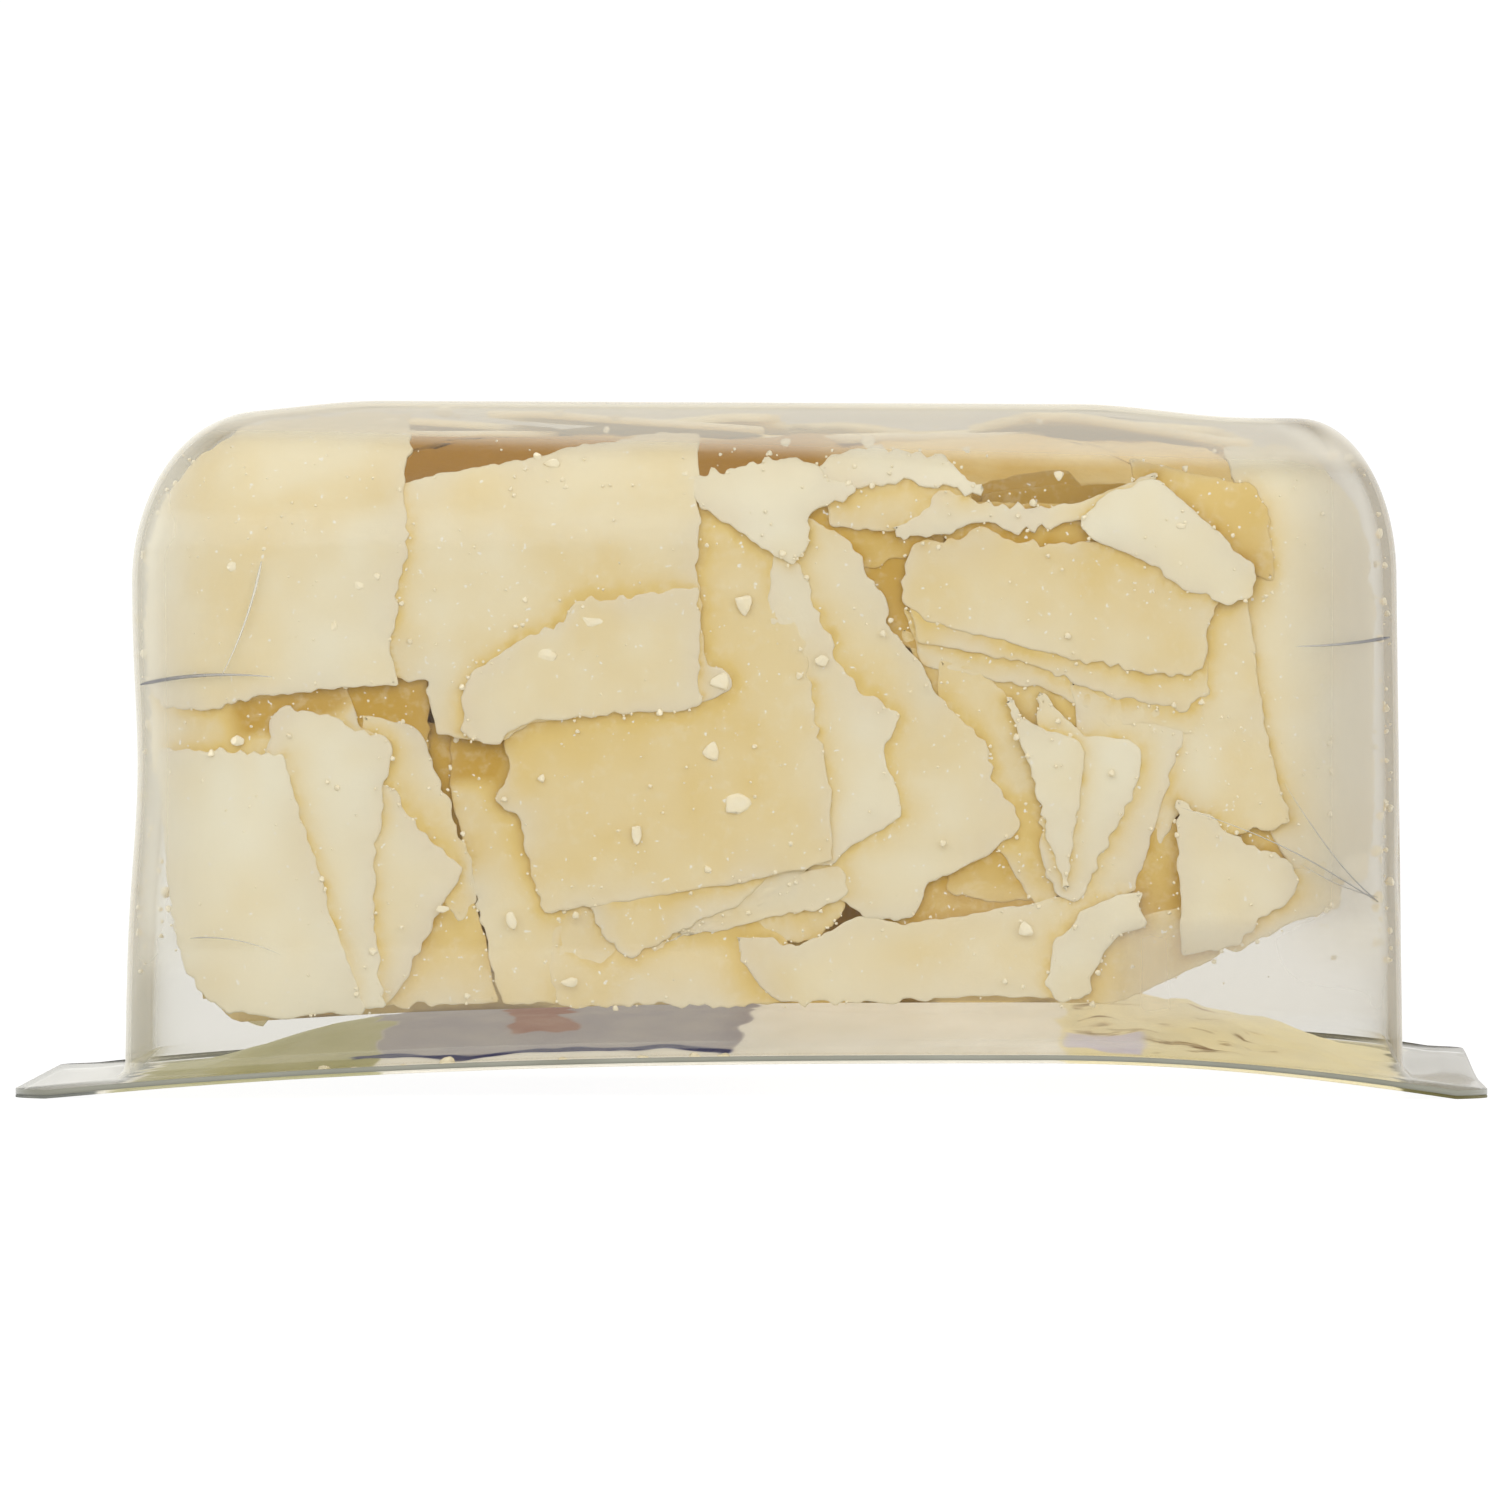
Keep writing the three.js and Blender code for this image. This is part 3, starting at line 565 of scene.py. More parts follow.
def folds_piece(material):
    """Narrow ridges on the sheet, fading at one end, where it has been creased."""
    pile = Pile()
    t = np.linspace(0, 1, FOLD_STEPS)
    for fold in FOLDS:
        (x0, z0), (x1, z1) = fold["from"], fold["to"]
        length = math.hypot(x1 - x0, z1 - z0)
        across = (-(z1 - z0) / length, (x1 - x0) / length)
        bow = 4 * fold["bow"] * t * (1 - t)
        x = mix(x0, x1, t) + bow * across[0]
        z = mix(z0, z1, t) + bow * across[1]
        wide = fold["wide"] / 2 * np.sqrt(clamp(1 - t) * clamp(FOLD_START[0] + FOLD_START[1] * t))
        sides = []
        for side, proud in FOLD_EDGES:
            s, v = front_place(x + side * wide * across[0], z + side * wide * across[1])
            sides.append(wall_point(s, v, dip_at(s, v) - proud * (1 - FOLD_FADE["proud"] * t)))
        points = np.stack(sides, 1).reshape(-1, 3)
        edges = len(FOLD_EDGES)
        last = edges * (FOLD_STEPS - 1)
        ends = np.array([[0, 1, 2], [0, 2, 3], [last + 2, last + 1, last], [last + 3, last + 2, last]])
        shade = np.repeat(fold["dark"] * (1 - FOLD_FADE["dark"] * t), edges)
        pile.add(points, np.concatenate([ring_faces(FOLD_STEPS, edges)[:, ::-1], ends]), dark=shade)
    return pile.to_object("tub_folds", material)


SKIN_FOOT = 2.2  # the skin's lowest ring over the flange
CAP_SHARES = (0.94, 0.02, -0.07)  # of the flat base: the outermost ring, the end and the step


def skin(depth, step):
    """Rings up one skin of the tub, from its foot to the base's middle."""
    places = STATIONS[::step]
    top = skin_top(places)
    nominal = TUB_HEIGHT - ROUND_DOWN["side"] + ARC
    levels = np.arange(SKIN_FOOT, nominal, WALL_STEP * step)
    rings = []
    for share in list(levels / nominal) + [1.0]:
        v = share * top
        rings.append(wall_point(places, v, depth + dip_at(places, v)))
    x, y, nx, ny = outline(places)
    inset = round_at(ROUND_IN, nx) + DRAFT
    for share in np.arange(*CAP_SHARES[:2], CAP_SHARES[2] * step):
        rings.append(top_point((x - inset * nx) * share + TUB_SHIFT, (y - inset * ny) * share, depth))
    return rings


# How milky the sheet is: on the shoulder over the front wall and on the corners, where the haze is painted
# reflection, on the flange, and by real smudges.
SHOULDER_VEIL = {"from": 58.6, "over": 2.2, "most": 0.3, "fall": 0.03, "inset": (10, -4)}
CORNER = {"middle": -1, "x": (48, 10), "z": (9, 8), "most": 0.3}
FLANGE_VEIL = -0.45
FLANGE_END = (1.2, -0.4)  # a ramp up z, over the arch, that picks the flange
SMUDGE = {"most": 0.009, "more": 0.007, "size": 14, "seed": 21}
VEIL_GAIN = 1.7
# Broad dull reflections in the front wall, painted as grey haze: where each starts and how it rises along x
# and up z, how much haze.
DULL_FIELDS = [
    {"x": [(2, -6)], "z": [(14.2, -1.2)], "haze_and_reflection": 0.05},
    {"x": [(14, 4), (40, -6)], "z": [(19.8, -1.2)], "haze_and_reflection": 0.04},
    {"x": [(-3, -3)], "z": [(50.2, 0.8), (54, -0.8)], "haze_and_reflection": 0.04},
]
# The empty corner of the pack, low at the right end, where grey haze is painted on as reflection.
POCKET = {"x": [(31, 6)], "z": [(17.5, -3), (6, 2)], "haze_and_reflection": 0.2}
FRONT_Y = (-30, -4)  # a ramp along y that picks the front
SIDES_Y = (30, 4)  # and one that picks the front and the back
# The right end's haze is painted greyer, as reflection.
RIGHT_END_DULL = {"x": (44, 8), "most": 1.3}


def field_at(field, x, z):
    """How much of a field there is at x and z, from 0 to 1."""
    shares = [ramp(x, *one) for one in field["x"]] + [ramp(z, *one) for one in field["z"]]
    return math.prod(shares)


def shoulder_at(points):
    """Where the sheet was drawn over the mould's upper edge, from 0 to 1. Grey haze is painted there as
    reflection.
    """
    x, y, z = points.T
    inset = np.minimum(TUB_LENGTH / 2 - np.abs(x - TUB_SHIFT), TUB_WIDTH / 2 - np.abs(y))
    rise = ramp(z + SHOULDER_VEIL["fall"] * x, SHOULDER_VEIL["from"], SHOULDER_VEIL["over"])
    return rise * ramp(inset, *SHOULDER_VEIL["inset"])


def dull_at(points):
    """Where the sheet's haze is painted greyer, as reflection: the shoulder, the right end and the empty
    corner.
    """
    x, y, z = points.T
    right_end = RIGHT_END_DULL["most"] * ramp(x, *RIGHT_END_DULL["x"])
    pocket = 2 * field_at(POCKET, x, z) * ramp(y, *FRONT_Y)
    return np.maximum(np.maximum(shoulder_at(points), right_end), pocket)


def veil_at(points):
    """How milky the sheet looks at each point: real smudges, with painted reflection in bands, on the
    shoulder, on the corners and in the empty corner.
    """
    x, y, z = points.T
    smudge = SMUDGE["most"] + SMUDGE["more"] * noise(x, z - y, SMUDGE["size"], SMUDGE["seed"])
    # Broad bands and the empty corner: painted reflection, as haze.
    dull = sum(field["haze_and_reflection"] * field_at(field, x, z) for field in DULL_FIELDS + [POCKET])
    corner = ramp(np.abs(x - CORNER["middle"]), *CORNER["x"]) * ramp(z, *CORNER["z"])
    corner = CORNER["most"] * (corner * ramp(np.abs(y), *SIDES_Y))
    shoulder = SHOULDER_VEIL["most"] * shoulder_at(points)
    veil = smudge + ramp(y, *FRONT_Y) * dull + shoulder + corner
    on_flange = ramp(z, FLANGE_END[0] + arch_at(x, y), FLANGE_END[1])
    return mix(VEIL_GAIN * veil, FLANGE_VEIL, on_flange)


# How the foot rounds off into the flange: how far out and up its rings are, in shares of the rounding.
FOOT_CURVE = [(1, 0), (0.55, 0.12), (0.12, 0.55)]


def base_middle(depth):
    return top_point(np.array([TUB_SHIFT]), np.array([0.0]), depth)


def seam_faces(count, start):
    """Triangles between the outer side's first ring and the inner side's, which has half the places."""
    half = count // 2
    j = np.arange(half)
    a, b, c = 2 * j, 2 * j + 1, (2 * j + 2) % count
    p, q = start + j, start + (j + 1) % half
    return [np.stack(corners, -1) for corners in ([b, a, p], [b, p, q], [c, b, q])]


def tub_piece():
    """The sheet: its outer side from the flange's underside up, and its inner side with half the places."""
    count, half = len(STATIONS), len(STATIONS) // 2
    flange = [foot_ring(FOOT_OUT, FLANGE_UNDER), flange_ring(FLANGE_UNDER), flange_ring(FLANGE_TOP)]
    foot = [foot_ring(out * BASE_ROUND, FLANGE_TOP + up * BASE_ROUND) for out, up in FOOT_CURVE]
    outer = flange + foot + skin(0.0, 1)
    inner = skin(SHEET, 2)
    outer_tip = len(outer) * count
    start = outer_tip + 1
    inner_tip = start + len(inner) * half
    faces = [ring_faces(len(outer), count), cap_faces(count, outer_tip - count, outer_tip)]
    faces.append(ring_faces(len(inner), half, start)[:, ::-1])
    faces.append(cap_faces(half, inner_tip - half, inner_tip, flip=True))
    faces = np.concatenate(faces + seam_faces(count, start))
    points = np.concatenate(outer + [base_middle(0.0)] + inner + [base_middle(SHEET)])
    looks = {"veil": veil_at(points), "dull": dull_at(points)}
    tub = new_object("tub_sheet", points, faces, clear_material(), looks)
    tub.data.materials.append(edge_material())
    tub.data.materials.append(inner_material())
    marks = np.zeros(len(faces), np.int32)
    corners = np.array([polygon.vertices[:] for polygon in tub.data.polygons])
    marks[((corners >= count) & (corners < 3 * count)).all(1)] = 1
    marks[(corners >= start).all(1)] = 2
    tub.data.polygons.foreach_set("material_index", marks)
    return tub


# ---------- the lid ----------
LID_CRINKLE = 1.1
LID_SLACK = 0.14  # the share of the film over which crinkles fade towards its weld
LID_UNEVEN = {"least": 0.35, "more": 0.9}
LID_RINGS = 44
FRONT_EDGE = -TUB_WIDTH / 2
LID_LEFT, LID_RIGHT = -TUB_LENGTH / 2, TUB_LENGTH / 2 + 1.5
# The fields of colour printed on the film: a colour, from where to where along x and y, and how strong.
LID_FIELDS = [
    ((206, 203, 162), -58, -35, -60, 60, 0.8),
    ((206, 201, 202), -35, -0.7, FRONT_EDGE + 7, 30, 1.0),
    ((196, 140, 112), -23, -17, FRONT_EDGE + 12, 12, 0.7),
    ((52, 66, 140), -38, -0.7, FRONT_EDGE + 5.4, FRONT_EDGE + 7.2, 1.0),
    ((253, 246, 220), 29, 62, -60, 60, 1.0),
]
STREAKS = (30, 47, FRONT_EDGE + 4, 30)  # where brown streaks are
# Painted over the rest: a pale printed patch, and the film's strips on the flange, their colours painted
# darker as shade.
LID_FIELDS_OVER = [
    ((238, 234, 240), 29.5, 37, FRONT_EDGE + 4.5, FRONT_EDGE + 11, 1.0),
    ((164, 166, 162), -80, LID_LEFT, -60, 60, 1.0),
    ((148, 142, 92), LID_RIGHT, 80, -60, 60, 1.0),
]
FIELD_SOFT = 0.25


def lid_surface(share, z):
    """A ring of the lid inside the tub's foot. Its film is crinkled, most under the right end."""
    x, y, nx, ny = outline(STATIONS)
    px = (x + FOOT_OUT * nx) * share + TUB_SHIFT
    py = (y + FOOT_OUT * ny) * share
    slack = smooth((1 - share) / LID_SLACK)
    uneven = LID_UNEVEN["least"] + LID_UNEVEN["more"] * ramp(px, 8, 30) * ramp(px, 66, -16)
    long = np.abs(noise(px + 0.6 * py, py, 9, 3))
    short = np.abs(noise(px, py - 0.8 * px, 4, 4))
    lift = LID_CRINKLE * slack * uneven * (long + 0.5 * short)
    points = warp(px, py, np.full_like(px, z))
    points[:, 2] += lift + dome_at(px, py)
    return points


def lid_material():
    """Printed film: plain fields of colour, in a generic layout, under a satin gloss. The strips of film on
    the flange are painted darker, as shade.
    """
    nodes = Nodes("lid_film")
    place = nodes.add("ShaderNodeTexCoord").outputs["Object"]
    split = nodes.add("ShaderNodeSeparateXYZ", {"Vector": place})
    x, y = split.outputs["X"], split.outputs["Y"]
    wobble = nodes.span(nodes.noise(11, 2), 0.3, 0.7, -0.002, 0.002)
    x = nodes.math("ADD", x, wobble)
    y = nodes.math("ADD", y, wobble)

    def within(value, low, high):
        rise = nodes.span(value, (low - FIELD_SOFT) * MM, (low + FIELD_SOFT) * MM)
        fall = nodes.span(value, (high - FIELD_SOFT) * MM, (high + FIELD_SOFT) * MM, 1.0, 0.0)
        return nodes.math("MULTIPLY", rise, fall)

    def inside(low_x, high_x, low_y, high_y):
        return nodes.math("MULTIPLY", within(x, low_x, high_x), within(y, low_y, high_y))

    def printed(under, fields):
        for colour, *box, strength in fields:
            under = nodes.blend(nodes.math("MULTIPLY", inside(*box), strength), under, rgb(*colour))
        return under

    colour = printed(rgb(255, 252, 244), LID_FIELDS)
    streaks = nodes.span(nodes.noise(2.6, 3, 0.6, (0.3, 1, 1)), 0.56, 0.64)
    streaks = nodes.math("MULTIPLY", streaks, nodes.math("MULTIPLY", inside(*STREAKS), 0.7))
    colour = printed(nodes.blend(streaks, colour, rgb(150, 110, 50)), LID_FIELDS_OVER)
    shade = nodes.span(nodes.noise(5, 4), 0.35, 0.65)
    colour = nodes.blend(nodes.math("MULTIPLY", shade, 0.25), colour, rgb(240, 236, 222))
    relief = nodes.bump(nodes.noise(3, 3), 0.4, 0.4)
    surface = nodes.surface(colour, 0.3, Coat_Weight=0.3, Normal=relief)
    through = nodes.add("ShaderNodeBsdfTranslucent", {"Color": colour, "Normal": relief})
    return nodes.finish(nodes.mixed(0.8, surface, through.outputs[0]))


def lid_piece():
    """The film: its upper side from the middle out, and its underside back in."""
    shares = np.linspace(0.02, 1, LID_RINGS)
    upper = [lid_surface(share, FILM) for share in shares] + [flange_ring(FILM)]
    lower = [flange_ring(0.0)] + [lid_surface(share, 0.0) for share in shares[::-1]]
    return new_object("lid_film", *closed(upper + lower, flip=True), lid_material())


# ---------- the shavings ----------
NEAREST = 0.15  # no shaving comes nearer to the sheet's inside
THICKNESS = 0.7
THICKNESS_RANGE = (0.85, 1.2)  # shares of the thickness that single shavings have
FRONT_THICKNESS = 0.42
LAYER = 0.34  # mm to one unit of depth in the lists of shavings that show at the front
WORN = 0.4  # how far along its outline a shaving's corners are worn round
# How far the rings of a shaving's face lie from its outline, and how much of its thickness it has there.
INSETS = (0.0, 0.1, 0.28, 0.6, 1.1)
FULLNESS = (0.9, 0.95, 1.0, 1.0, 1.0)
EDGE_ROUND = 0.07  # how far the front rounds off right at the outline
RELIEF = {9: 0.05, 2.4: 0.015}  # waves of a shaving's face: their size, and how high they are
GRAIN = {"size": 0.7, "high": 0.05, "reach": 2}  # the rougher surface near an edge
EDGE_WAVES = {0.7: 1.4, 1.6: 1.0, 4: 0.6}  # how uneven an edge is: waves' sizes and their shares
TONE_WAVES = {8: 0.2, 2.6: 0.12}
CRUMBLY = {"size": 5, "gain": 0.9}  # how edges change between clean and crumbly
RIM_LEAST = 0.3
PATCHES = 8  # size of the stretches in which edges are more or less uneven
# A trough fades over this share of its length, from this far past its ends, and this is how flat it is.
TROUGH_END = 0.3
TROUGH_PAST = 0.15
TROUGH_FLAT = 1.5
FINE = {"step": 0.36, "grid": 1.0}
COARSE = {"step": 1.0, "grid": 2.6}
RIM_WIDTH = (0.5, 1.8)  # of the pale edge, where it is clean and where it is crumbly
RING_ROOM = 0.42  # the rings of an edge take up at most this share of a narrow shaving
NOT_NEAR = 3.5  # places of an outline this far apart along it may lie across a narrow part
AMPLE = 99.0  # the room where there is no narrow part
BEND_SPAN = 3  # an outline's bend is measured this many points to each side
ROW_HEIGHT = 0.87  # of even triangles with a side of 1
NEAR_RING = 0.5  # no point of the grid is nearer to the ring, in shares of the grid's spacing
# How the front wall's places were read: the middle column, the table's row, and rows or columns to a mm.
SEEN_COLUMN = 753.0
SEEN_TABLE = 1097.0
SEEN_SCALE = 10.905


def seen(places):
    """Turns places as the front view shows them, in columns and rows, to mm right of the middle and up."""
    places = np.asarray(places, float)
    return np.stack([places[:, 0] - SEEN_COLUMN, SEEN_TABLE - places[:, 1]], -1) / SEEN_SCALE


# How strongly one shaving paints shade on another behind it, how far that painted shade reaches, and over
# what step it sets in.
SHADE = 1.55
SHADE_REACH = 5.0
SHADE_STEP = 0.15
SHADE_WIDE = {"most": (0.4, 0.17), "fall": (1.1, 0.5)}  # where the two touch, and more for each unit of gap
SHADE_LINE = {"most": 0.3, "fall": 0.3}  # right beside the outline
GAP_SHARE = 2.8  # the painted shade widens this much for each mm of air between the two
GAP_MOST = 4
RIM_TONE = (1.5, 0.15)  # where painted shade raises the tone, tones over the first less one dull the pale edge, down to the second as a share


def worn_outline(corners, step):
    """Points round a closed line through the corners, anticlockwise, with the corners worn round."""
    x, y = corners.T
    if np.sum(x * np.roll(y, -1) - y * np.roll(x, -1)) < 0:
        corners = corners[::-1]
    loop = np.concatenate([corners, corners[:1]])
    ends = np.concatenate([[0.0], np.cumsum(np.hypot(*np.diff(loop, axis=0).T))])
    count = int(round(ends[-1] / step))
    places = np.arange(count) * ends[-1] / count
    line = np.stack([np.interp(places, ends, loop[:, k]) for k in (0, 1)], -1)
    reach = max(1, int(round(WORN / step)))
    weights = np.hanning(2 * reach + 3)[1:-1]
    padded = np.concatenate([line[-reach:], line, line[:reach]])
    return np.stack([np.convolve(padded[:, k], weights / weights.sum(), "valid") for k in (0, 1)], -1)


def inward_of(outline_points):
    """The unit way in from each point of an anticlockwise outline."""
    ahead = np.roll(outline_points, -2, 0) - np.roll(outline_points, 2, 0)
    return np.stack([-ahead[:, 1], ahead[:, 0]], -1) / np.hypot(*ahead.T)[:, None]


def waves(x, y, sizes, seed):
    """Noise of several sizes, each with its share."""
    return sum(share * noise(x, y, size, seed + k) for k, (size, share) in enumerate(sizes.items()))


def room_at(outline_points, inward, step):
    """How far in from each point of an outline there is room for rings, and how it bends inwards."""
    count = len(outline_points)
    apart = np.sqrt(((outline_points[:, None] - outline_points[None]) ** 2).sum(-1))
    along = np.abs(np.arange(count)[:, None] - np.arange(count)[None])
    along = np.minimum(along, count - along) * step
    across = np.where(along > NOT_NEAR, apart, AMPLE).min(1)
    way = np.arctan2(inward[:, 1], inward[:, 0])
    turn = np.roll(way, -BEND_SPAN) - np.roll(way, BEND_SPAN)
    bend = (turn + math.pi) % (2 * math.pi) - math.pi
    return RING_ROOM * across, np.maximum(bend / (2 * BEND_SPAN * step), 0)


def distance_to(outline_points, points):
    """How far each point is from the nearest of an outline's."""
    apart = points[:, None, :] - outline_points[None, :, :]
    return np.sqrt((apart**2).sum(-1).min(1))


def is_inside(outline_points, points):
    """Whether each point lies inside an outline."""
    ax, ay = outline_points.T
    bx, by = np.roll(outline_points, -1, 0).T
    x, y = points[:, :1], points[:, 1:]
    crosses = ((ay > y) != (by > y)) & (x < (bx - ax) * (y - ay) / (by - ay + 1e-12) + ax)
    return crosses.sum(1) % 2 == 1


def filled(ring, spacing):
    """Even triangles inside a ring: all points, and triangles. The ring's points come first."""
    low, high = ring.min(0), ring.max(0)
    rows = np.arange(low[1], high[1], ROW_HEIGHT * spacing)
    gx, gy = np.meshgrid(np.arange(low[0], high[0], spacing), rows)
    gx = gx + (np.arange(len(gy)) % 2)[:, None] * spacing / 2
    grid = np.stack([gx.ravel(), gy.ravel()], -1)
    grid = grid[is_inside(ring, grid)]
    grid = grid[distance_to(ring, grid) > NEAR_RING * spacing] if len(grid) else grid
    points = [Vector(point) for point in np.concatenate([ring, grid])]
    found, _, faces, before, _, _ = delaunay_2d_cdt(points, [], [list(range(len(ring)))], 1, 1e-6)
    order = [0] * len(ring)
    for k, sources in enumerate(before):
        for source in sources:
            if source < len(ring):
                order[source] = k
    flat = np.array([point[:] for point in found])
    faces = np.array([face[:3] for face in faces])
    a, b, c = (flat[faces[:, k]] for k in range(3))
    turned = (b[:, 0] - a[:, 0]) * (c[:, 1] - a[:, 1]) - (b[:, 1] - a[:, 1]) * (c[:, 0] - a[:, 0]) < 0
    faces[turned] = faces[turned][:, ::-1]
    return flat, faces, np.array(order)


class Shaving:
    """One shaving behind the tub's skin. Its outline and its face are worked out on the skin laid flat."""

    def __init__(self, corners, depth, lean=(0, 0), curl=0.0, curl_turn=0.0, tone=0.4, ragged=0.17,
                 groove=None, relief=None, place=front_point, mesh=FINE, thickness=THICKNESS, seed=1):
        self.depth, self.lean, self.curl, self.curl_turn = depth, lean, curl, curl_turn
        self.tone, self.groove, self.place = tone, groove, place
        self.mesh_sizes, self.thickness, self.seed = mesh, thickness, seed
        self.relief = seed + 4 if relief is None else relief
        self.line = worn_outline(np.asarray(corners, float), mesh["step"])
        self.inward = inward_of(self.line)
        x, y = self.line.T
        patchy = 0.5 + smooth(0.5 + noise(x, y, PATCHES, seed))
        self.jag = ragged * patchy * waves(x, y, EDGE_WAVES, seed + 1)
        self.outline = self.line + self.inward * self.jag[:, None]
        self.middle = self.outline.mean(0)
        self.reach = np.abs(self.outline - self.middle).max()

    def groove_at(self, x, y):
        """How much of the groove's depth there is at x and y, from 0 to 1."""
        if self.groove is None:
            return 0 * x
        start, end = np.array(self.groove["from"]), np.array(self.groove["to"])
        way = end - start
        length = np.hypot(*way)
        along = ((x - start[0]) * way[0] + (y - start[1]) * way[1]) / length**2
        off = ((x - start[0]) * way[1] - (y - start[1]) * way[0]) / length
        ends = ramp(along, -TROUGH_PAST, TROUGH_END) * ramp(along, 1 + TROUGH_PAST, -TROUGH_END)
        return ends * smooth(TROUGH_FLAT - np.abs(off) / (self.groove["wide"] / 2))

    def down(self, x, y):
        """How far behind the sheet's inside the front of the shaving lies."""
        dx, dy = x - self.middle[0], y - self.middle[1]
        a = math.radians(self.curl_turn)
        t = (dx * math.cos(a) + dy * math.sin(a)) / self.reach
        dip = self.groove["deep"] * self.groove_at(x, y) if self.groove else 0
        plane = self.depth + self.lean[0] * dx + self.lean[1] * dy
        return np.maximum(plane + self.curl * t**2 + waves(x, y, RELIEF, self.relief) + dip, NEAREST)

    def flat_mesh(self):
        """The layout of one face: places, triangles, and the share of the thickness at each place."""
        room, curve = room_at(self.line, self.inward, self.mesh_sizes["step"])
        rings = []
        for inset in INSETS:
            reach = np.minimum(inset, room * inset / INSETS[-1])
            reach = reach / (1 + reach * curve) + self.jag * (1 - inset / INSETS[-1])
            rings.append(self.line + reach[:, None] * self.inward)
        count = len(self.outline)
        inner, inner_faces, order = filled(rings[-1], self.mesh_sizes["grid"])
        start = (len(INSETS) - 1) * count
        faces = [strip_faces(count, k * count, (k + 1) * count) for k in range(len(INSETS) - 2)]
        last = strip_faces(count, start - count, start)
        faces.append(np.where(last >= start, start + order[np.maximum(last - start, 0)], last))
        faces.append(inner_faces + start)
        full = np.concatenate([np.repeat(FULLNESS[:-1], count), np.ones(len(inner))])
        return np.concatenate(rings[:-1] + [inner]), np.concatenate(faces), full

    def solid(self, cover):
        """The shaving's points, triangles and attributes. The others in cover paint shade on it where they
        overlap.
        """
        flat, faces, full = self.flat_mesh()
        x, y = flat.T
        count = len(self.outline)
        from_edge = distance_to(self.outline, flat)
        grain = GRAIN["high"] * noise(x, y, GRAIN["size"], self.seed + 6)
        grain = grain * np.exp(-from_edge / GRAIN["reach"])
        level = SHEET + self.down(x, y) + grain + EDGE_ROUND * np.exp(-from_edge / EDGE_ROUND)
        front = self.place(x, y, level)
        back = self.place(x, y, level + self.thickness * full)
        total = len(flat)
        wall = strip_faces(count, total, 0)
        # Painted shade goes into the tone here: from the shavings in front, and along a trough's dip.
        tone = self.tone + waves(x, y, TONE_WAVES, self.relief + 3) + self.shade(flat, cover)
        if self.groove:
            tone = tone + self.groove["tone"] * self.groove_at(x, y)
        crumbly = smooth(0.5 + CRUMBLY["gain"] * noise(x, y, CRUMBLY["size"], self.seed + 9))
        rim = mix(RIM_LEAST, 1, crumbly) * np.exp(-from_edge / mix(*RIM_WIDTH, crumbly))
        # The pale edge is dulled where painted shade darkens the tone.
        rim = rim * clamp(RIM_TONE[0] - tone, RIM_TONE[1])
        return (
            np.concatenate([front, back]),
            np.concatenate([faces, faces[:, ::-1] + total, wall]),
            {"rim": np.tile(rim, 2), "tone": np.tile(tone, 2)},
        )

    def shade(self, flat, cover):
        """How much painted shade others that lie in front put on this one, most right beside their outlines.
        """
        mine = self.down(*flat.T)
        most = np.zeros(len(flat))
        for other in cover:
            if other is self:
                continue
            low, top = other.outline.min(0) - SHADE_REACH, other.outline.max(0) + SHADE_REACH
            near = ((flat > low) & (flat < top)).all(1)
            if not near.any():
                continue
            spots = flat[near]
            apart = mine[near] - other.down(*spots.T)
            gap = clamp(GAP_SHARE * (apart - other.thickness), 0, GAP_MOST)
            away = distance_to(other.outline[::2], spots)
            high, fall = (SHADE_WIDE[key][0] + SHADE_WIDE[key][1] * gap for key in ("most", "fall"))
            line = SHADE_LINE["most"] * np.exp(-away / SHADE_LINE["fall"])
            value = smooth(apart / SHADE_STEP) * (high * np.exp(-away / fall) + line)
            most[near] = np.maximum(most[near], value)
        return SHADE * most


def shaving(depth, tone, *places, **more):
    """One shaving of the lists: its depth, its tone (above 1 painted shade), and its corners' columns and
    rows in turn.
    """
    return {"depth": depth, "tone": tone, "corners": np.reshape(places, (-1, 2)), **more}


def trough(start, end, wide, deep, tone):
    """A long dip in a shaving's face from start to end, with painted shade of its own along it."""
    return {"from": start, "to": end, "wide": wide, "deep": deep, "tone": tone}


# The shavings that show through the front wall, as the front view shows them. Depths are in layers behind
# the sheet, leans in layers for each mm right and up, and curls in mm at a shaving's far ends. Tones above 1
# are painted shade, darker and more orange, for shavings deep in the gaps.
UPPER_LEFT = [
    shaving(0.3, 0.3, 128,560, 134,500, 160,450, 205,425, 260,418, 412,416, 411,450, 404,480, 403,500,
            409,522, 411,545, 406,572, 400,592, 399,622, 391,642, 390,656, 396,676, 400,688, 340,690,
            290,694, 235,702, 195,707, 150,709, 132,695, 126,640,
            groove=trough((240, 537), (405, 482), 4.5, 0.4, 0.2)),
    shaving(1.0, 0.42, 360,500, 404,487, 440,478, 470,474, 490,470, 520,466, 542,461, 560,455, 582,450,
            612,446, 640,440, 670,436, 701,437, 701,480, 699,540, 701,600, 705,640, 709,668, 730,673,
            735,688, 722,698, 702,705, 680,712, 640,712, 600,716, 560,720, 530,726, 505,742, 460,741,
            450,736, 437,738, 433,712, 430,684, 395,680, 360,600, lean=(-0.01, 0), ragged=0.2, relief=7),
    shaving(0.35, 0.4, 578,606, 573,616, 562,628, 545,632, 520,645, 495,662, 472,674, 464,688, 461,712,
            464,736, 480,744, 500,743, 512,733, 535,724, 600,717, 640,713, 680,713, 701,706, 703,640,
            699,592, 640,598, lean=(0.01, 0), ragged=0.25, relief=7),
    shaving(1.5, 0.3, 128,680, 345,680, 352,705, 358,730, 392,742, 392,765, 128,775, lean=(0.05, 0),
            groove=trough((225, 724), (350, 692), 3.2, 0.6, 1.5)),
    shaving(3.0, 2.0, 330,670, 430,675, 430,760, 330,760),
]
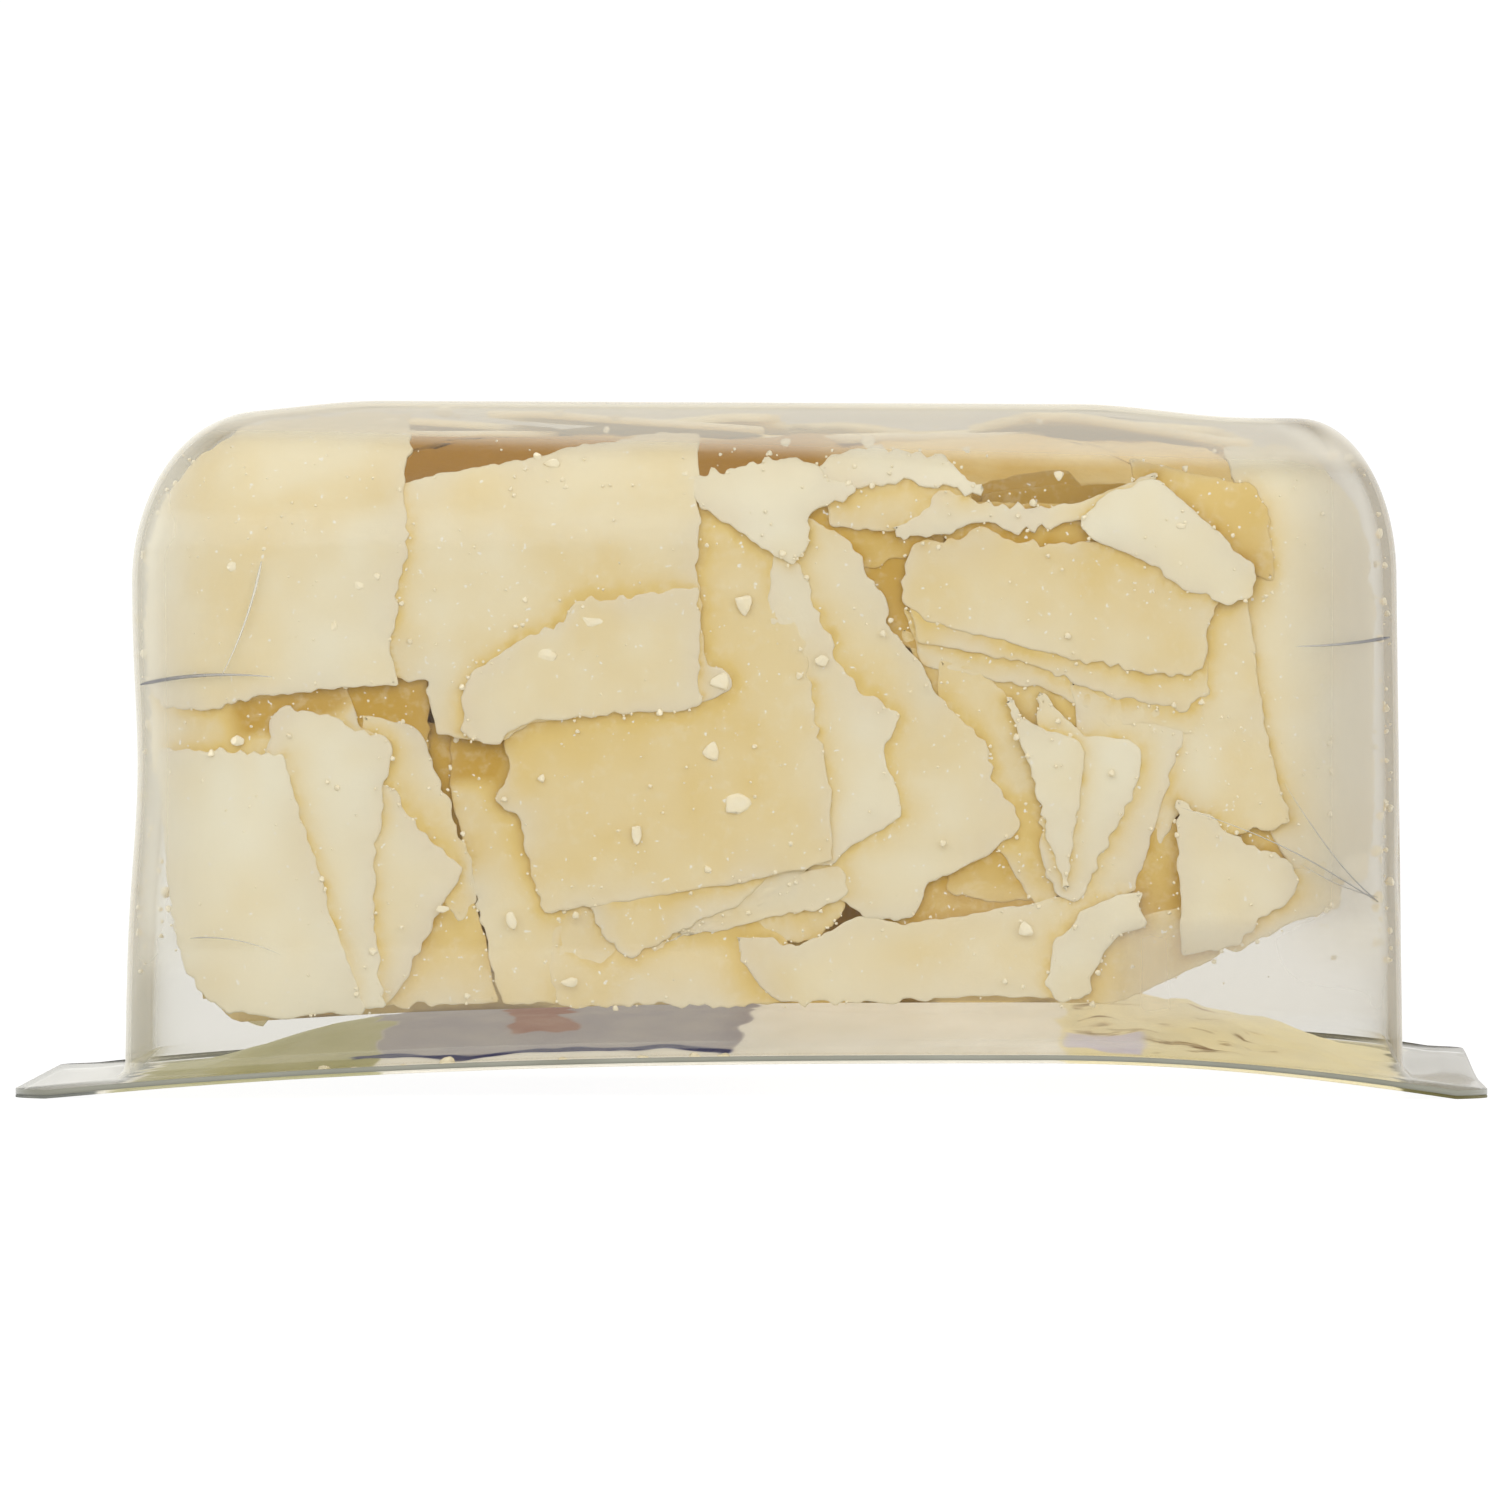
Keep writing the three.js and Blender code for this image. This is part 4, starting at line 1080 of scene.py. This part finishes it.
LEFT = [
    shaving(0.3, 0.1, 136,748, 200,752, 240,754, 281,754, 288,780, 296,806, 304,830, 315,860, 325,890,
            333,920, 345,950, 358,985, 367,1008, 362,1016, 330,1013, 290,1019, 240,1015, 210,1006, 196,996,
            184,980, 172,950, 162,915, 152,870, 143,820, 137,780, curl=0.3),
    shaving(1.2, 0.1, 268,725, 274,711, 290,707, 312,712, 340,722, 370,733, 386,737, 392,750, 388,775,
            383,800, 378,835, 375,870, 374,905, 377,935, 382,965, 386,1006, 350,1010, 290,900, 260,780),
    shaving(2.0, 0.2, 350,790, 388,788, 402,805, 420,830, 440,850, 456,862, 463,870, 459,885, 446,900,
            436,920, 425,945, 412,965, 404,985, 394,1000, 384,1008, 340,1006, 345,900, lean=(-0.02, 0)),
    shaving(2.5, 0.4, 360,715, 420,730, 432,765, 440,785, 455,815, 466,845, 474,872, 480,900, 460,920,
            430,880, 400,840, 375,780),
    shaving(2.9, 0.85, 430,880, 470,885, 486,935, 493,975, 500,1003, 440,1006, 385,1004, 390,970, 410,920),
    shaving(2.9, 0.6, 452,730, 530,730, 560,800, 590,900, 640,950, 650,1000, 505,1004, 494,975, 486,935,
            476,895, 462,835, 450,790, lean=(0, 0.04), groove=trough((420, 760), (500, 752), 5, 0.6, 1.4)),
    shaving(4.8, 1.9, 402,725, 470,725, 480,800, 490,890, 440,850),
]
MIDDLE = [
    shaving(1.35, 0.6, 503,735, 507,765, 508,780, 500,790, 497,802, 508,812, 520,813, 527,850, 533,880,
            540,900, 544,915, 570,910, 600,905, 640,900, 680,893, 720,888, 750,882, 780,873, 810,868,
            835,862, 833,820, 830,785, 824,750, 817,715, 810,680, 803,640, 797,600, 788,560, 760,505,
            700,490, 670,560, 560,690, lean=(-0.02, 0.02), curl=0.3, curl_turn=60),
    shaving(1.9, 0.45, 580,880, 592,915, 602,930, 614,943, 626,954, 634,958, 650,949, 680,932, 710,919,
            742,905, 752,893, 790,860, 700,840, 600,850),
    shaving(2.2, 0.2, 650,950, 700,926, 745,908, 755,895, 790,878, 815,870, 841,866, 848,880, 848,896,
            840,903, 815,912, 790,915, 760,922, 720,931, 690,938, 670,930, 700,880, 780,850, 830,845,
            780,900, lean=(-0.03, 0)),
    shaving(2.9, 0.5, 670,946, 745,924, 800,900, 850,885, 847,915, 832,930, 802,945, 770,944, 742,937),
    shaving(2.6, 0.65, 560,1004, 550,965, 554,925, 580,905, 640,915, 745,915, 790,940, 800,978, 790,1000,
            760,1003, 700,1006, 640,1006, lean=(0, 0.07),
            groove=trough((575, 915), (620, 935), 6, 0.3, 1.4)),
    shaving(2.3, 0.42, 735,935, 770,940, 802,946, 832,931, 850,919, 870,916, 900,925, 930,921, 980,914,
            1030,905, 1066,895, 1110,900, 1100,960, 1075,998, 980,997, 900,999, 800,1005, 772,998, 757,978,
            745,960, lean=(0, 0.08)),
    shaving(1.8, 0.15, 780,520, 800,560, 812,590, 820,612, 832,642, 846,678, 872,698, 903,716, 897,731,
            885,747, 889,765, 900,792, 906,820, 882,833, 852,848, 832,866, 780,860, 760,700, ragged=0.2),
    shaving(2.4, 0.36, 770,500, 830,530, 850,543, 857,560, 868,580, 885,602, 893,635, 922,664, 938,697,
            962,722, 986,744, 990,766, 1001,790, 1016,808, 1023,824, 1018,836, 1001,845, 985,860, 952,874,
            930,882, 924,897, 915,919, 890,920, 862,914, 820,900, 800,850, 790,700, lean=(-0.01, -0.01),
            ragged=0.18),
    shaving(0.85, 0.15, 690,482, 725,472, 750,466, 775,463, 800,464, 818,469, 832,481, 848,486, 860,493,
            850,505, 822,510, 808,525, 812,548, 795,572, 775,560, 750,545, 720,525, 700,512,
            lean=(0, -0.015), ragged=0.3),
    shaving(2.9, 0.6, 940,660, 985,672, 1010,700, 1030,745, 1042,790, 1055,840, 1070,890, 1040,910,
            1000,850, 960,800, 940,740),
    shaving(3.3, 1.1, 960,845, 1025,800, 1075,830, 1080,895, 1000,902, 945,890),
    shaving(3.8, 1.4, 880,860, 1060,840, 1090,900, 1060,930, 980,940, 880,950),
    shaving(3.4, 1.8, 820,520, 945,520, 955,655, 905,650, 855,590),
    shaving(2.9, 1.3, 780,480, 885,490, 940,550, 860,575, 780,560),
]
FAN = [
    shaving(1.3, 0.15, 1010,698, 1025,722, 1060,734, 1081,741, 1087,752, 1084,782, 1078,822, 1071,868,
            1069,893, 1062,878, 1050,840, 1040,800, 1033,770, 1022,740),
    shaving(2.0, 0.15, 1040,690, 1085,738, 1128,738, 1142,748, 1144,766, 1136,792, 1121,822, 1106,852,
            1092,882, 1081,902, 1060,898, 1045,860, 1040,780),
    shaving(2.7, 0.3, 1070,680, 1130,702, 1165,710, 1184,718, 1185,728, 1176,762, 1166,800, 1155,835,
            1146,865, 1140,893, 1110,910, 1070,915, 1070,850, 1090,780),
    shaving(3.3, 0.6, 1120,690, 1200,695, 1205,722, 1197,752, 1183,800, 1172,830, 1160,842, 1148,880,
            1100,880, 1110,800),
]
UPPER_RIGHT = [
    shaving(1.5, 0.55, 905,578, 914,548, 960,541, 984,531, 1000,540, 1030,546, 1060,549, 1085,545, 1130,550,
            1170,570, 1210,575, 1225,598, 1213,622, 1207,648, 1203,666, 1194,676, 1150,672, 1105,667,
            1080,661, 1040,652, 1004,643, 960,634, 925,622, 905,605, lean=(-0.02, 0), curl=0.3,
            curl_turn=90),
    shaving(2.2, 0.45, 905,580, 1000,600, 1105,630, 1210,650, 1212,690, 1185,713, 1150,706, 1100,692,
            1060,676, 1020,664, 920,645),
    shaving(2.8, 0.45, 905,610, 1020,630, 1100,655, 1200,680, 1210,735, 1150,724, 1110,731, 1090,712,
            1040,692, 925,668),
    shaving(3.4, 0.6, 900,630, 1000,650, 1060,670, 1130,712, 1145,755, 1085,748, 1060,740, 1020,728,
            990,722, 940,705),
    shaving(0.9, 0.1, 820,470, 862,453, 885,449, 912,454, 938,461, 952,471, 975,483, 990,492, 960,497,
            935,491, 900,486, 865,488, 835,492, ragged=0.32),
    shaving(1.9, 0.7, 820,470, 900,470, 970,484, 975,520, 940,530, 890,535, 830,530),
    shaving(1.5, 0.12, 940,492, 985,505, 1010,510, 1040,510, 1070,507, 1095,500, 1120,488, 1160,470,
            1150,520, 1105,524, 1080,523, 1060,529, 1030,532, 1000,532, 975,530, 940,540, 905,545, 890,530,
            930,518, ragged=0.28),
    shaving(2.6, 1.3, 930,505, 1060,505, 1130,505, 1130,580, 1060,575, 960,570),
    shaving(0.6, 0.12, 1083,530, 1100,503, 1125,491, 1145,478, 1162,478, 1185,499, 1215,525, 1245,556,
            1257,568, 1254,596, 1228,608, 1204,592, 1180,588, 1165,572, 1130,556, 1098,546),
    shaving(2.2, 1.1, 1130,455, 1200,468, 1258,478, 1275,510, 1280,580, 1225,570, 1180,530, 1140,500),
    shaving(2.5, 0.4, 1200,585, 1235,578, 1247,572, 1252,620, 1261,680, 1271,740, 1284,780, 1299,823,
            1270,829, 1236,835, 1205,822, 1182,812, 1160,850, 1130,850, 1140,780, 1160,700, 1185,650,
            lean=(-0.17, 0)),
    shaving(2.2, 0.12, 1225,430, 1300,430, 1350,445, 1380,500, 1392,600, 1390,700, 1388,800, 1382,880,
            1310,885, 1270,823, 1250,780, 1235,690, 1228,620, 1240,560, 1248,510, lean=(-0.19, 0)),
]
LOWER_RIGHT = [
    shaving(0.8, 0.25, 1178,798, 1205,813, 1236,836, 1260,846, 1292,857, 1306,880, 1300,895, 1265,920,
            1242,946, 1210,951, 1183,957, 1182,900, 1180,870, lean=(0, 0.03)),
    shaving(1.9, 0.35, 1215,940, 1240,890, 1300,870, 1366,860, 1350,906, 1300,924, 1262,940, 1235,952),
    shaving(3.4, 0.95, 1210,805, 1310,795, 1320,885, 1240,885),
    shaving(2.6, 0.75, 1075,1000, 1086,965, 1100,930, 1150,915, 1190,905, 1240,930, 1222,957, 1182,974,
            1150,991, 1112,1005),
    shaving(1.3, 0.12, 1048,985, 1052,960, 1056,940, 1073,929, 1082,912, 1100,903, 1122,895, 1146,892,
            1140,905, 1149,925, 1120,936, 1109,947, 1100,966, 1091,982, 1085,1000, 1062,1000, ragged=0.18),
    shaving(3.2, 1.15, 1130,825, 1200,820, 1200,940, 1130,940),
]


DRAW_TURN = (12.9898, 78.233)


def draw(n):
    """A repeatable number from 0 to 1 for each whole n, the same as the solids use."""
    wave = math.sin(n * DRAW_TURN[0] + DRAW_TURN[1]) * SCATTER[3]
    return wave - math.floor(wave)


def four_corners(at, size, turn, n):
    """The corners of an uneven four-sided shaving."""
    corners = []
    for k, (u, v) in enumerate([(-1, -1), (1, -1), (1, 1), (-1, 1)]):
        x = u * size[0] / 2 * mix(*CORNER_RANGE, draw(n + 11 + k))
        y = v * size[1] / 2 * mix(*CORNER_RANGE, draw(n + 15 + k))
        a = math.radians(turn)
        corners.append((at[0] + x * math.cos(a) - y * math.sin(a), at[1] + x * math.sin(a) + y * math.cos(a)))
    return corners


# The ranges of shavings that are laid by rule: how far they stray, their size, turn and lean.
SHAVING_SIZE = (27, 24)
SIZE_RANGE = (0.82, 1.05)
STRAY = (0.5, 0.4)
TURN_RANGE = (-40, 40)
LEAN_RANGE = ((-0.11, 0.11), (-0.08, 0.08))
CORNER_RANGE = (0.86, 1.04)


def laid_over(place, low_corner, high_corner, columns, rows, seed, depths, tones=(0.2, 0.7)):
    """Shavings by rule over a stretch of wall, leaning so that their neighbours cover some edges."""
    found = []
    step = ((high_corner[0] - low_corner[0]) / columns, (high_corner[1] - low_corner[1]) / rows)
    for j in range(rows):
        for i in range(columns):
            n = seed + (j * columns + i) * 7
            at = [
                low_corner[k] + step[k] * (cell + 0.5 + STRAY[k] * (draw(n + k) - 0.5))
                for k, cell in enumerate((i, j))
            ]
            size = [SHAVING_SIZE[k] * mix(*SIZE_RANGE, draw(n + 2 + k)) for k in (0, 1)]
            found.append({
                "corners": four_corners(at, size, mix(*TURN_RANGE, draw(n + 4)), n),
                "depth": mix(*depths, draw(n + 5)),
                "lean": [mix(*LEAN_RANGE[k], draw(n + 6 + k)) for k in (0, 1)],
                "tone": mix(*tones, draw(n + 8)),
                "place": place,
                "mesh": COARSE,
                "ragged": 0.2,
            })
    return found


RIGHT_END = STRAIGHT_X + ARC
BACK_START = RIGHT_END + 2 * STRAIGHT_Y
BACK_END = BACK_START + 2 * (ARC + STRAIGHT_X)


def around_walls():
    """Shavings along the other walls. The first of the back ones is left out: it would hang free."""
    right = laid_over(wall_point, (RIGHT_END, 35), (BACK_START + 8, 57), 2, 2, seed=300, depths=(8.0, 9.0))
    back = laid_over(wall_point, (BACK_START + 16, 9), (BACK_END - 8, 58), 6, 3, seed=500, depths=(0.6, 3.4))
    left = laid_over(wall_point, (BACK_END, 24), (AROUND - 66, 57), 3, 2, seed=900, depths=(3.6, 5.4))
    return right + back[1:] + left


def under_top():
    """Shavings under the tub's base."""
    return laid_over(top_point, (-46, -10), (46, 30), 4, 2, seed=1300, depths=(0.8, 2.2))


def behind_front():
    """A second layer, which shows between the front ones, painted darker and more orange as shade in the
    gaps.
    """
    return laid_over(front_point, (-42, 21), (42, 50), 5, 3, seed=2100, depths=(4.4, 5.6), tones=(1.5, 2.0))


def from_front_view(shavings):
    """Turns the corners, troughs, leans and depths of listed shavings to mm."""
    turned = []
    for one in shavings:
        lean = np.multiply(LAYER, one.get("lean", (0, 0)))
        one = {**one, "corners": seen(one["corners"]), "depth": LAYER * one["depth"], "lean": lean}
        if "groove" in one:
            dip = one["groove"]
            start, end = seen([dip["from"], dip["to"]])
            one["groove"] = {**dip, "from": start, "to": end, "deep": LAYER * dip["deep"]}
        turned.append(one)
    return turned


def made(shavings, seed, thick=THICKNESS):
    """The shavings themselves, each a little thicker or thinner."""
    found = []
    for k, one in enumerate(shavings):
        thickness = thick * mix(*THICKNESS_RANGE, draw(seed + k))
        found.append(Shaving(seed=seed + 13 * k, thickness=thickness, **one))
    return found


def pile_of(name, shavings, cover, material):
    """One piece of many shavings."""
    pile = Pile()
    for one in shavings:
        points, faces, values = one.solid(cover)
        pile.add(points, faces, **values)
    return pile.to_object(name, material)


CORE_FLOOR = 5.2  # how far over the arch the core's lower edge is: it rests on the bulge of the lid
CORE_DEPTH = 7.4  # how far the core lies behind the sheet: here behind the walls, and under the base
CORE_TOP_DEPTH = 2.6
CORE_LUMPS = {6: 0.9, 2.5: 0.5}  # sizes of lumps, and how high they are
CORE_TOP_LUMP = {5: 0.6}
CORE_LEVELS = (2, 60, 32)
CORE_CAP = {"inset": 15, "shares": (0.93, 0.06, 14), "deep": (-26, 11)}
# Where the core's floor rises at the ends: from there over how far along x, and by how much.
HOLLOW = [(30, 28, 12.5), (-47, -9, 10)]
# Painted shade in the gap under the base's front edge: from x, y and z on, and how much of it its right part
# still has.
DIM = {"x": (14, -10), "wall_y": (-14, -6), "top_y": (-8, -6), "z": (52, 5), "right": 0.3}


def core_piece(material):
    """The heap's inside: a lumpy body behind the shavings, with a hollow under the base's front edge, painted
    dark there as shade.
    """
    places = STATIONS[::4]
    x, y, nx, ny = outline(places)
    rings, tones = [], []

    # How much painted shade the core has at a place.
    def dim_at(along, depth, ends):
        return mix(DIM["right"], 1.0, ramp(along, *DIM["x"])) * ramp(depth, *ends)

    for level in np.linspace(*CORE_LEVELS):
        v = np.minimum(level, skin_top(places))
        ring = wall_point(places, v, SHEET + CORE_DEPTH + waves(places, v, CORE_LUMPS, 41))
        rings.append(ring)
        tones.append(dim_at(ring[:, 0], ring[:, 1], DIM["wall_y"]) * ramp(ring[:, 2], *DIM["z"]))
    for share in np.linspace(*CORE_CAP["shares"]):
        px = (x - CORE_CAP["inset"] * nx) * share + TUB_SHIFT
        py = (y - CORE_CAP["inset"] * ny) * share
        depth = mix(CORE_DEPTH, CORE_TOP_DEPTH, ramp(py, *CORE_CAP["deep"]))
        rings.append(top_point(px, py, SHEET + (depth + waves(px, py, CORE_TOP_LUMP, 43))))
        tones.append(dim_at(px, py, DIM["top_y"]))
    x, y = rings[0].T[:2]
    floor = CORE_FLOOR + sum(rise * ramp(x, start, over) for start, over, rise in HOLLOW) + arch_at(x, y)
    for ring in rings:
        ring[:, 2] = np.maximum(ring[:, 2], floor)
    points, faces = closed(rings)
    return new_object("heap_core", points, faces, material, {"tone": np.concatenate(tones + [[0.0, 0.0]])})


# ---------- crumbs ----------
# Large crumbs stuck to the sheet: where they show from the front, and their width and height.
LARGE_CRUMBS = [
    (-1.4, 26.7, 2.6, 2.0), (-0.7, 44.9, 1.7, 1.9), (-14.7, 43.6, 2.4, 1.7), (-18.8, 40.2, 2.0, 1.3),
    (-10.6, 24.1, 1.0, 1.9), (-47.9, 32.7, 1.1, 1.2), (-28.4, 62.2, 1.9, 1.0), (-33, 61.3, 2.2, 1.0),
    (3.2, 59.6, 0.9, 0.8), (10.7, 59.6, 1.4, 1.2), (28.2, 56.7, 0.8, 1.0), (-22, 16.3, 0.9, 1.9),
    (25.2, 15.4, 1.4, 1.3), (-2.8, 37.9, 2.0, 1.6), (-17.8, 62.4, 0.9, 0.7), (-12.6, 61.7, 0.8, 0.6),
    (-13.3, 60.6, 0.7, 0.6), (-16.5, 10.5, 1.5, 0.9), (-28.4, 17.2, 1.2, 0.7), (-48, 48.6, 0.9, 1.1),
    (-36, 46.6, 1.0, 1.0), (-34.4, 47.3, 0.7, 0.6), (-18.2, 57.6, 1.6, 0.8), (-19.6, 58.2, 0.9, 0.7),
    (6.5, 39.8, 1.2, 1.1), (-38.4, 42.9, 0.7, 0.9), (39.5, 52.4, 0.9, 0.5), (-3.6, 31.6, 1.6, 1.6),
]
LARGE_THICK = 0.32  # of the smaller of the two
FINE_CRUMB = 0.7  # crumbs larger than this have more facets
LUMPS = 8  # different shapes of crumbs
CUTS = {"count": 12, "at": (0.22, 0.42), "share": 0.9}  # facets: how far from the middle, how flat
ROUGH = {"high": 0.06, "size": 0.12, "seed": 60}
# Small crumbs: how many, where, the range of their sizes, a rare extra and how rare that is.
FRONT_CRUMBS = {"count": 420, "x": (-54, 55), "z": (9, 53, 0.75), "size": (0.12, 0.3, 0.5, 7)}
EDGE_CRUMBS = {"count": 14, "stray": 0.25, "size": (0.15, 0.3, 0.4, 5)}  # for each shaving
WALL_CRUMBS = {"count": 260, "s": (60, AROUND - 60), "v": (10, 60), "size": (0.15, 0.5, 0.9, 6)}
# Crumbs on the lid just behind the front wall: where along it, and how large.
RIM_CRUMBS = [(-39.2, 1.1), (-36.5, 0.7), (-31.9, 0.7), (-27.8, 1.5), (-17.2, 1.0), (-10, 1.1), (-5.2, 1.3),
              (-2.6, 1.2), (3, 0.7), (12, 0.6), (22, 0.5), (31, 0.6)]


def crumb_shapes(random, fineness):
    """A few angular lumps of unit size to copy: balls with flat facets cut off."""
    shapes = []
    for k in range(LUMPS):
        lump = bmesh.new()
        bmesh.ops.create_icosphere(lump, subdivisions=fineness, radius=0.5)
        points = np.array([vertex.co[:] for vertex in lump.verts])
        faces = np.array([[vertex.index for vertex in face.verts] for face in lump.faces])
        lump.free()
        for _ in range(CUTS["count"]):
            way = random.normal(size=3)
            way /= np.linalg.norm(way)
            over = np.maximum(points @ way - random.uniform(*CUTS["at"]), 0)
            points = points - CUTS["share"] * over[:, None] * way
        rough = noise(points[:, 0] + k, points[:, 1] + points[:, 2], ROUGH["size"], ROUGH["seed"] + k)
        shapes.append((points * (1 + ROUGH["high"] * rough)[:, None] / np.ptp(points, axis=0), faces))
    return shapes


class Crumbs:
    """A pile of crumbs, with the random draws that shape and place them."""

    def __init__(self):
        self.random = np.random.default_rng(7)
        self.fine, self.coarse = crumb_shapes(self.random, 3), crumb_shapes(self.random, 2)
        self.pile = Pile()

    def put(self, place, size, thick):
        shapes = self.fine if max(size) > FINE_CRUMB else self.coarse
        points, faces = shapes[int(self.random.integers(len(shapes)))]
        spin = self.random.uniform(0, 2 * math.pi)
        x = points[:, 0] * math.cos(spin) - points[:, 1] * math.sin(spin)
        y = points[:, 0] * math.sin(spin) + points[:, 1] * math.cos(spin)
        local = np.stack([x * size[0], points[:, 2] * thick, y * size[1]], -1)
        self.pile.add(local + place, faces)

    def put_behind(self, surface, along, up, depth, size, thick):
        """Puts a crumb behind a surface, which front_point or wall_point stands for."""
        self.put(surface(np.array([along]), np.array([up]), SHEET + depth)[0], size, thick)

    def size(self, low, high, extra, rare):
        return self.random.uniform(low, high) + extra * self.random.random() ** rare

    def scatter_on_front(self):
        low, rise, power = FRONT_CRUMBS["z"]
        for _ in range(FRONT_CRUMBS["count"]):
            x, z = self.random.uniform(*FRONT_CRUMBS["x"]), low + rise * self.random.random() ** power
            size = self.size(*FRONT_CRUMBS["size"])
            self.put_behind(front_point, x, z, size / 2 + 0.03, (size, size), 0.7 * size)

    def scatter_along(self, one):
        """Puts crumbs along one shaving's outline."""
        for _ in range(EDGE_CRUMBS["count"]):
            corner = one.outline[int(self.random.integers(len(one.outline)))]
            x, z = corner + self.random.normal(0, EDGE_CRUMBS["stray"], 2)
            size = self.size(*EDGE_CRUMBS["size"])
            down = one.down(np.array([x]), np.array([z])) - 0.1 * size
            self.put_behind(front_point, x, z, down, (size, size), 0.6 * size)

    def scatter_on_walls(self):
        for _ in range(WALL_CRUMBS["count"]):
            s, v = self.random.uniform(*WALL_CRUMBS["s"]), self.random.uniform(*WALL_CRUMBS["v"])
            size = self.size(*WALL_CRUMBS["size"])
            self.put_behind(wall_point, s, v, 0.6 * size, (size, size), size)


def crumbs_piece(shavings, material):
    """Crumbs inside the sheet: the large ones as seen, and fine ones on the walls and on the edges."""
    crumbs = Crumbs()
    for x, z, width, height in LARGE_CRUMBS:
        thick = LARGE_THICK * min(width, height)
        crumbs.put_behind(front_point, x, z, thick / 2 + 0.05, (width, height), thick)
    for x, size in RIM_CRUMBS:
        place = warp(np.array([x]), np.array([-TUB_WIDTH / 2 + 0.9]), np.array([FILM + 0.3 * size]))[0]
        crumbs.put(place, (size, 0.6 * size), 0.6 * size)
    crumbs.scatter_on_front()
    for one in shavings:
        crumbs.scatter_along(one)
    crumbs.scatter_on_walls()
    return crumbs.pile.to_object("crumbs", material)


# ---------- stage, light and camera ----------
# The sweep's sizes in mm. It is large, so that the camera can go right round the pack.
SWEEP = {"half_width": 7000.0, "back": 2100.0, "radius": 900.0, "height": 2700.0, "steps": 16}


def stage():
    """A pale sweep: a floor that curves up behind the pack."""
    nodes = Nodes("stage")
    surface = nodes.add("ShaderNodeBsdfDiffuse", {"Color": (0.1, 0.1, 0.1, 1)})
    glow = nodes.add("ShaderNodeEmission", {"Color": (1, 1, 1, 1), "Strength": 0.96})
    both = nodes.add("ShaderNodeAddShader", {0: surface.outputs[0], 1: glow.outputs[0]})
    material = nodes.finish(both.outputs[0])
    profile = [(-SWEEP["half_width"], 0.0), (SWEEP["back"], 0.0)]
    for k in range(1, SWEEP["steps"] + 1):
        a = math.pi / 2 * k / SWEEP["steps"]
        rounding = SWEEP["radius"]
        profile.append((SWEEP["back"] + rounding * math.sin(a), rounding * (1 - math.cos(a))))
    profile.append((SWEEP["back"] + SWEEP["radius"], SWEEP["height"]))
    points = [(side * SWEEP["half_width"], y, z) for y, z in profile for side in (-1, 1)]
    faces = [(2 * k, 2 * k + 1, 2 * k + 3, 2 * k + 2) for k in range(len(profile) - 1)]
    sweep = new_object("sweep", points, faces, material)


# Each lamp's name, its place in metres, its two sides and its power.
LAMPS = [
    ("key", (-0.9, -1.3, 1.3), (2.2, 1.8), 21),
    ("fill", (1.2, -1.2, 0.9), (1.8, 1.8), 14),
    ("top", (0, 0.1, 1.3), (1.0, 1.0), 3),
]
LAMP_AIM = (0, 0, 0.03)


def aimed(place, aim):
    """The turn that makes a lamp or a camera at place look at aim."""
    return (Vector(aim) - Vector(place)).to_track_quat("-Z", "Y").to_euler()


def lamp(name, place, size, power):
    light = bpy.data.lights.new(name, "AREA")
    light.shape = "RECTANGLE"
    light.size, light.size_y = size
    light.energy = power
    thing = bpy.data.objects.new(name, light)
    thing.visible_glossy = False
    thing.location = place
    thing.rotation_euler = aimed(place, LAMP_AIM)
    bpy.context.scene.collection.objects.link(thing)


def lights():
    """Soft studio light from all round, and three large lamps."""
    world = bpy.data.worlds.new("studio")
    bpy.context.scene.world = world
    world.use_nodes = True
    background = world.node_tree.nodes["Background"]
    background.inputs["Color"].default_value = (1.0, 0.995, 0.985, 1)
    background.inputs["Strength"].default_value = 0.8
    for one in LAMPS:
        lamp(*one)


CAMERA_DISTANCE = 1.6  # from the flange's near edge, in metres as the other places here
SENSOR = 36
CAMERA_HEIGHT = 0.0470
CAMERA_SIDE = 0.020
PHOTO_SIDE = 1500
NEAR_EDGE_SCALE = 10.96  # pixels of the photograph to a millimetre of the flange's near edge
PHOTO_MIDDLE_HEIGHT = 0.0319  # the height at the near edge that the photograph's middle shows


def camera():
    """The camera where the photograph's stood, so far away that lines hardly converge."""
    data = bpy.data.cameras.new("camera")
    thing = bpy.data.objects.new("camera", data)
    near_edge = -FLANGE_WIDTH / 2 * MM
    thing.location = (CAMERA_SIDE, near_edge - CAMERA_DISTANCE, CAMERA_HEIGHT)
    thing.rotation_euler = aimed(thing.location, (0, near_edge, PHOTO_MIDDLE_HEIGHT))
    data.sensor_width = SENSOR
    data.lens = SENSOR * CAMERA_DISTANCE / (PHOTO_SIDE / NEAR_EDGE_SCALE * MM)
    data.clip_end = 20
    bpy.context.scene.collection.objects.link(thing)
    bpy.context.scene.camera = thing


def dress():
    cheese = cheese_material()
    tub = tub_piece()
    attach(tub, "root")
    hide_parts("tub")
    folds = folds_piece(fold_material())
    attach(folds, "root")
    lid = lid_piece()
    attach(lid, "root")
    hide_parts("lid")
    core = core_piece(core_material())
    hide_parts("shavings")
    left = made(from_front_view(UPPER_LEFT + LEFT), 100, FRONT_THICKNESS)
    middle = made(from_front_view(MIDDLE), 300, FRONT_THICKNESS)
    right = made(from_front_view(FAN + UPPER_RIGHT + LOWER_RIGHT), 400, FRONT_THICKNESS)
    behind = made(behind_front(), 500)
    front = left + middle + right
    heaps = [
        core,
        pile_of("shavings_left", left, front, cheese),
        pile_of("shavings_middle", middle, front, cheese),
        pile_of("shavings_right", right, front, cheese),
        pile_of("shavings_behind", behind, front, cheese),
        pile_of("shavings_around", made(around_walls() + under_top(), 700), [], cheese),
        crumbs_piece(front, crumb_material()),
    ]
    for heap in heaps:
        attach(heap, "root")


bpy.context.scene.view_settings.view_transform = "Standard"
camera()
dress()
stage()
lights()
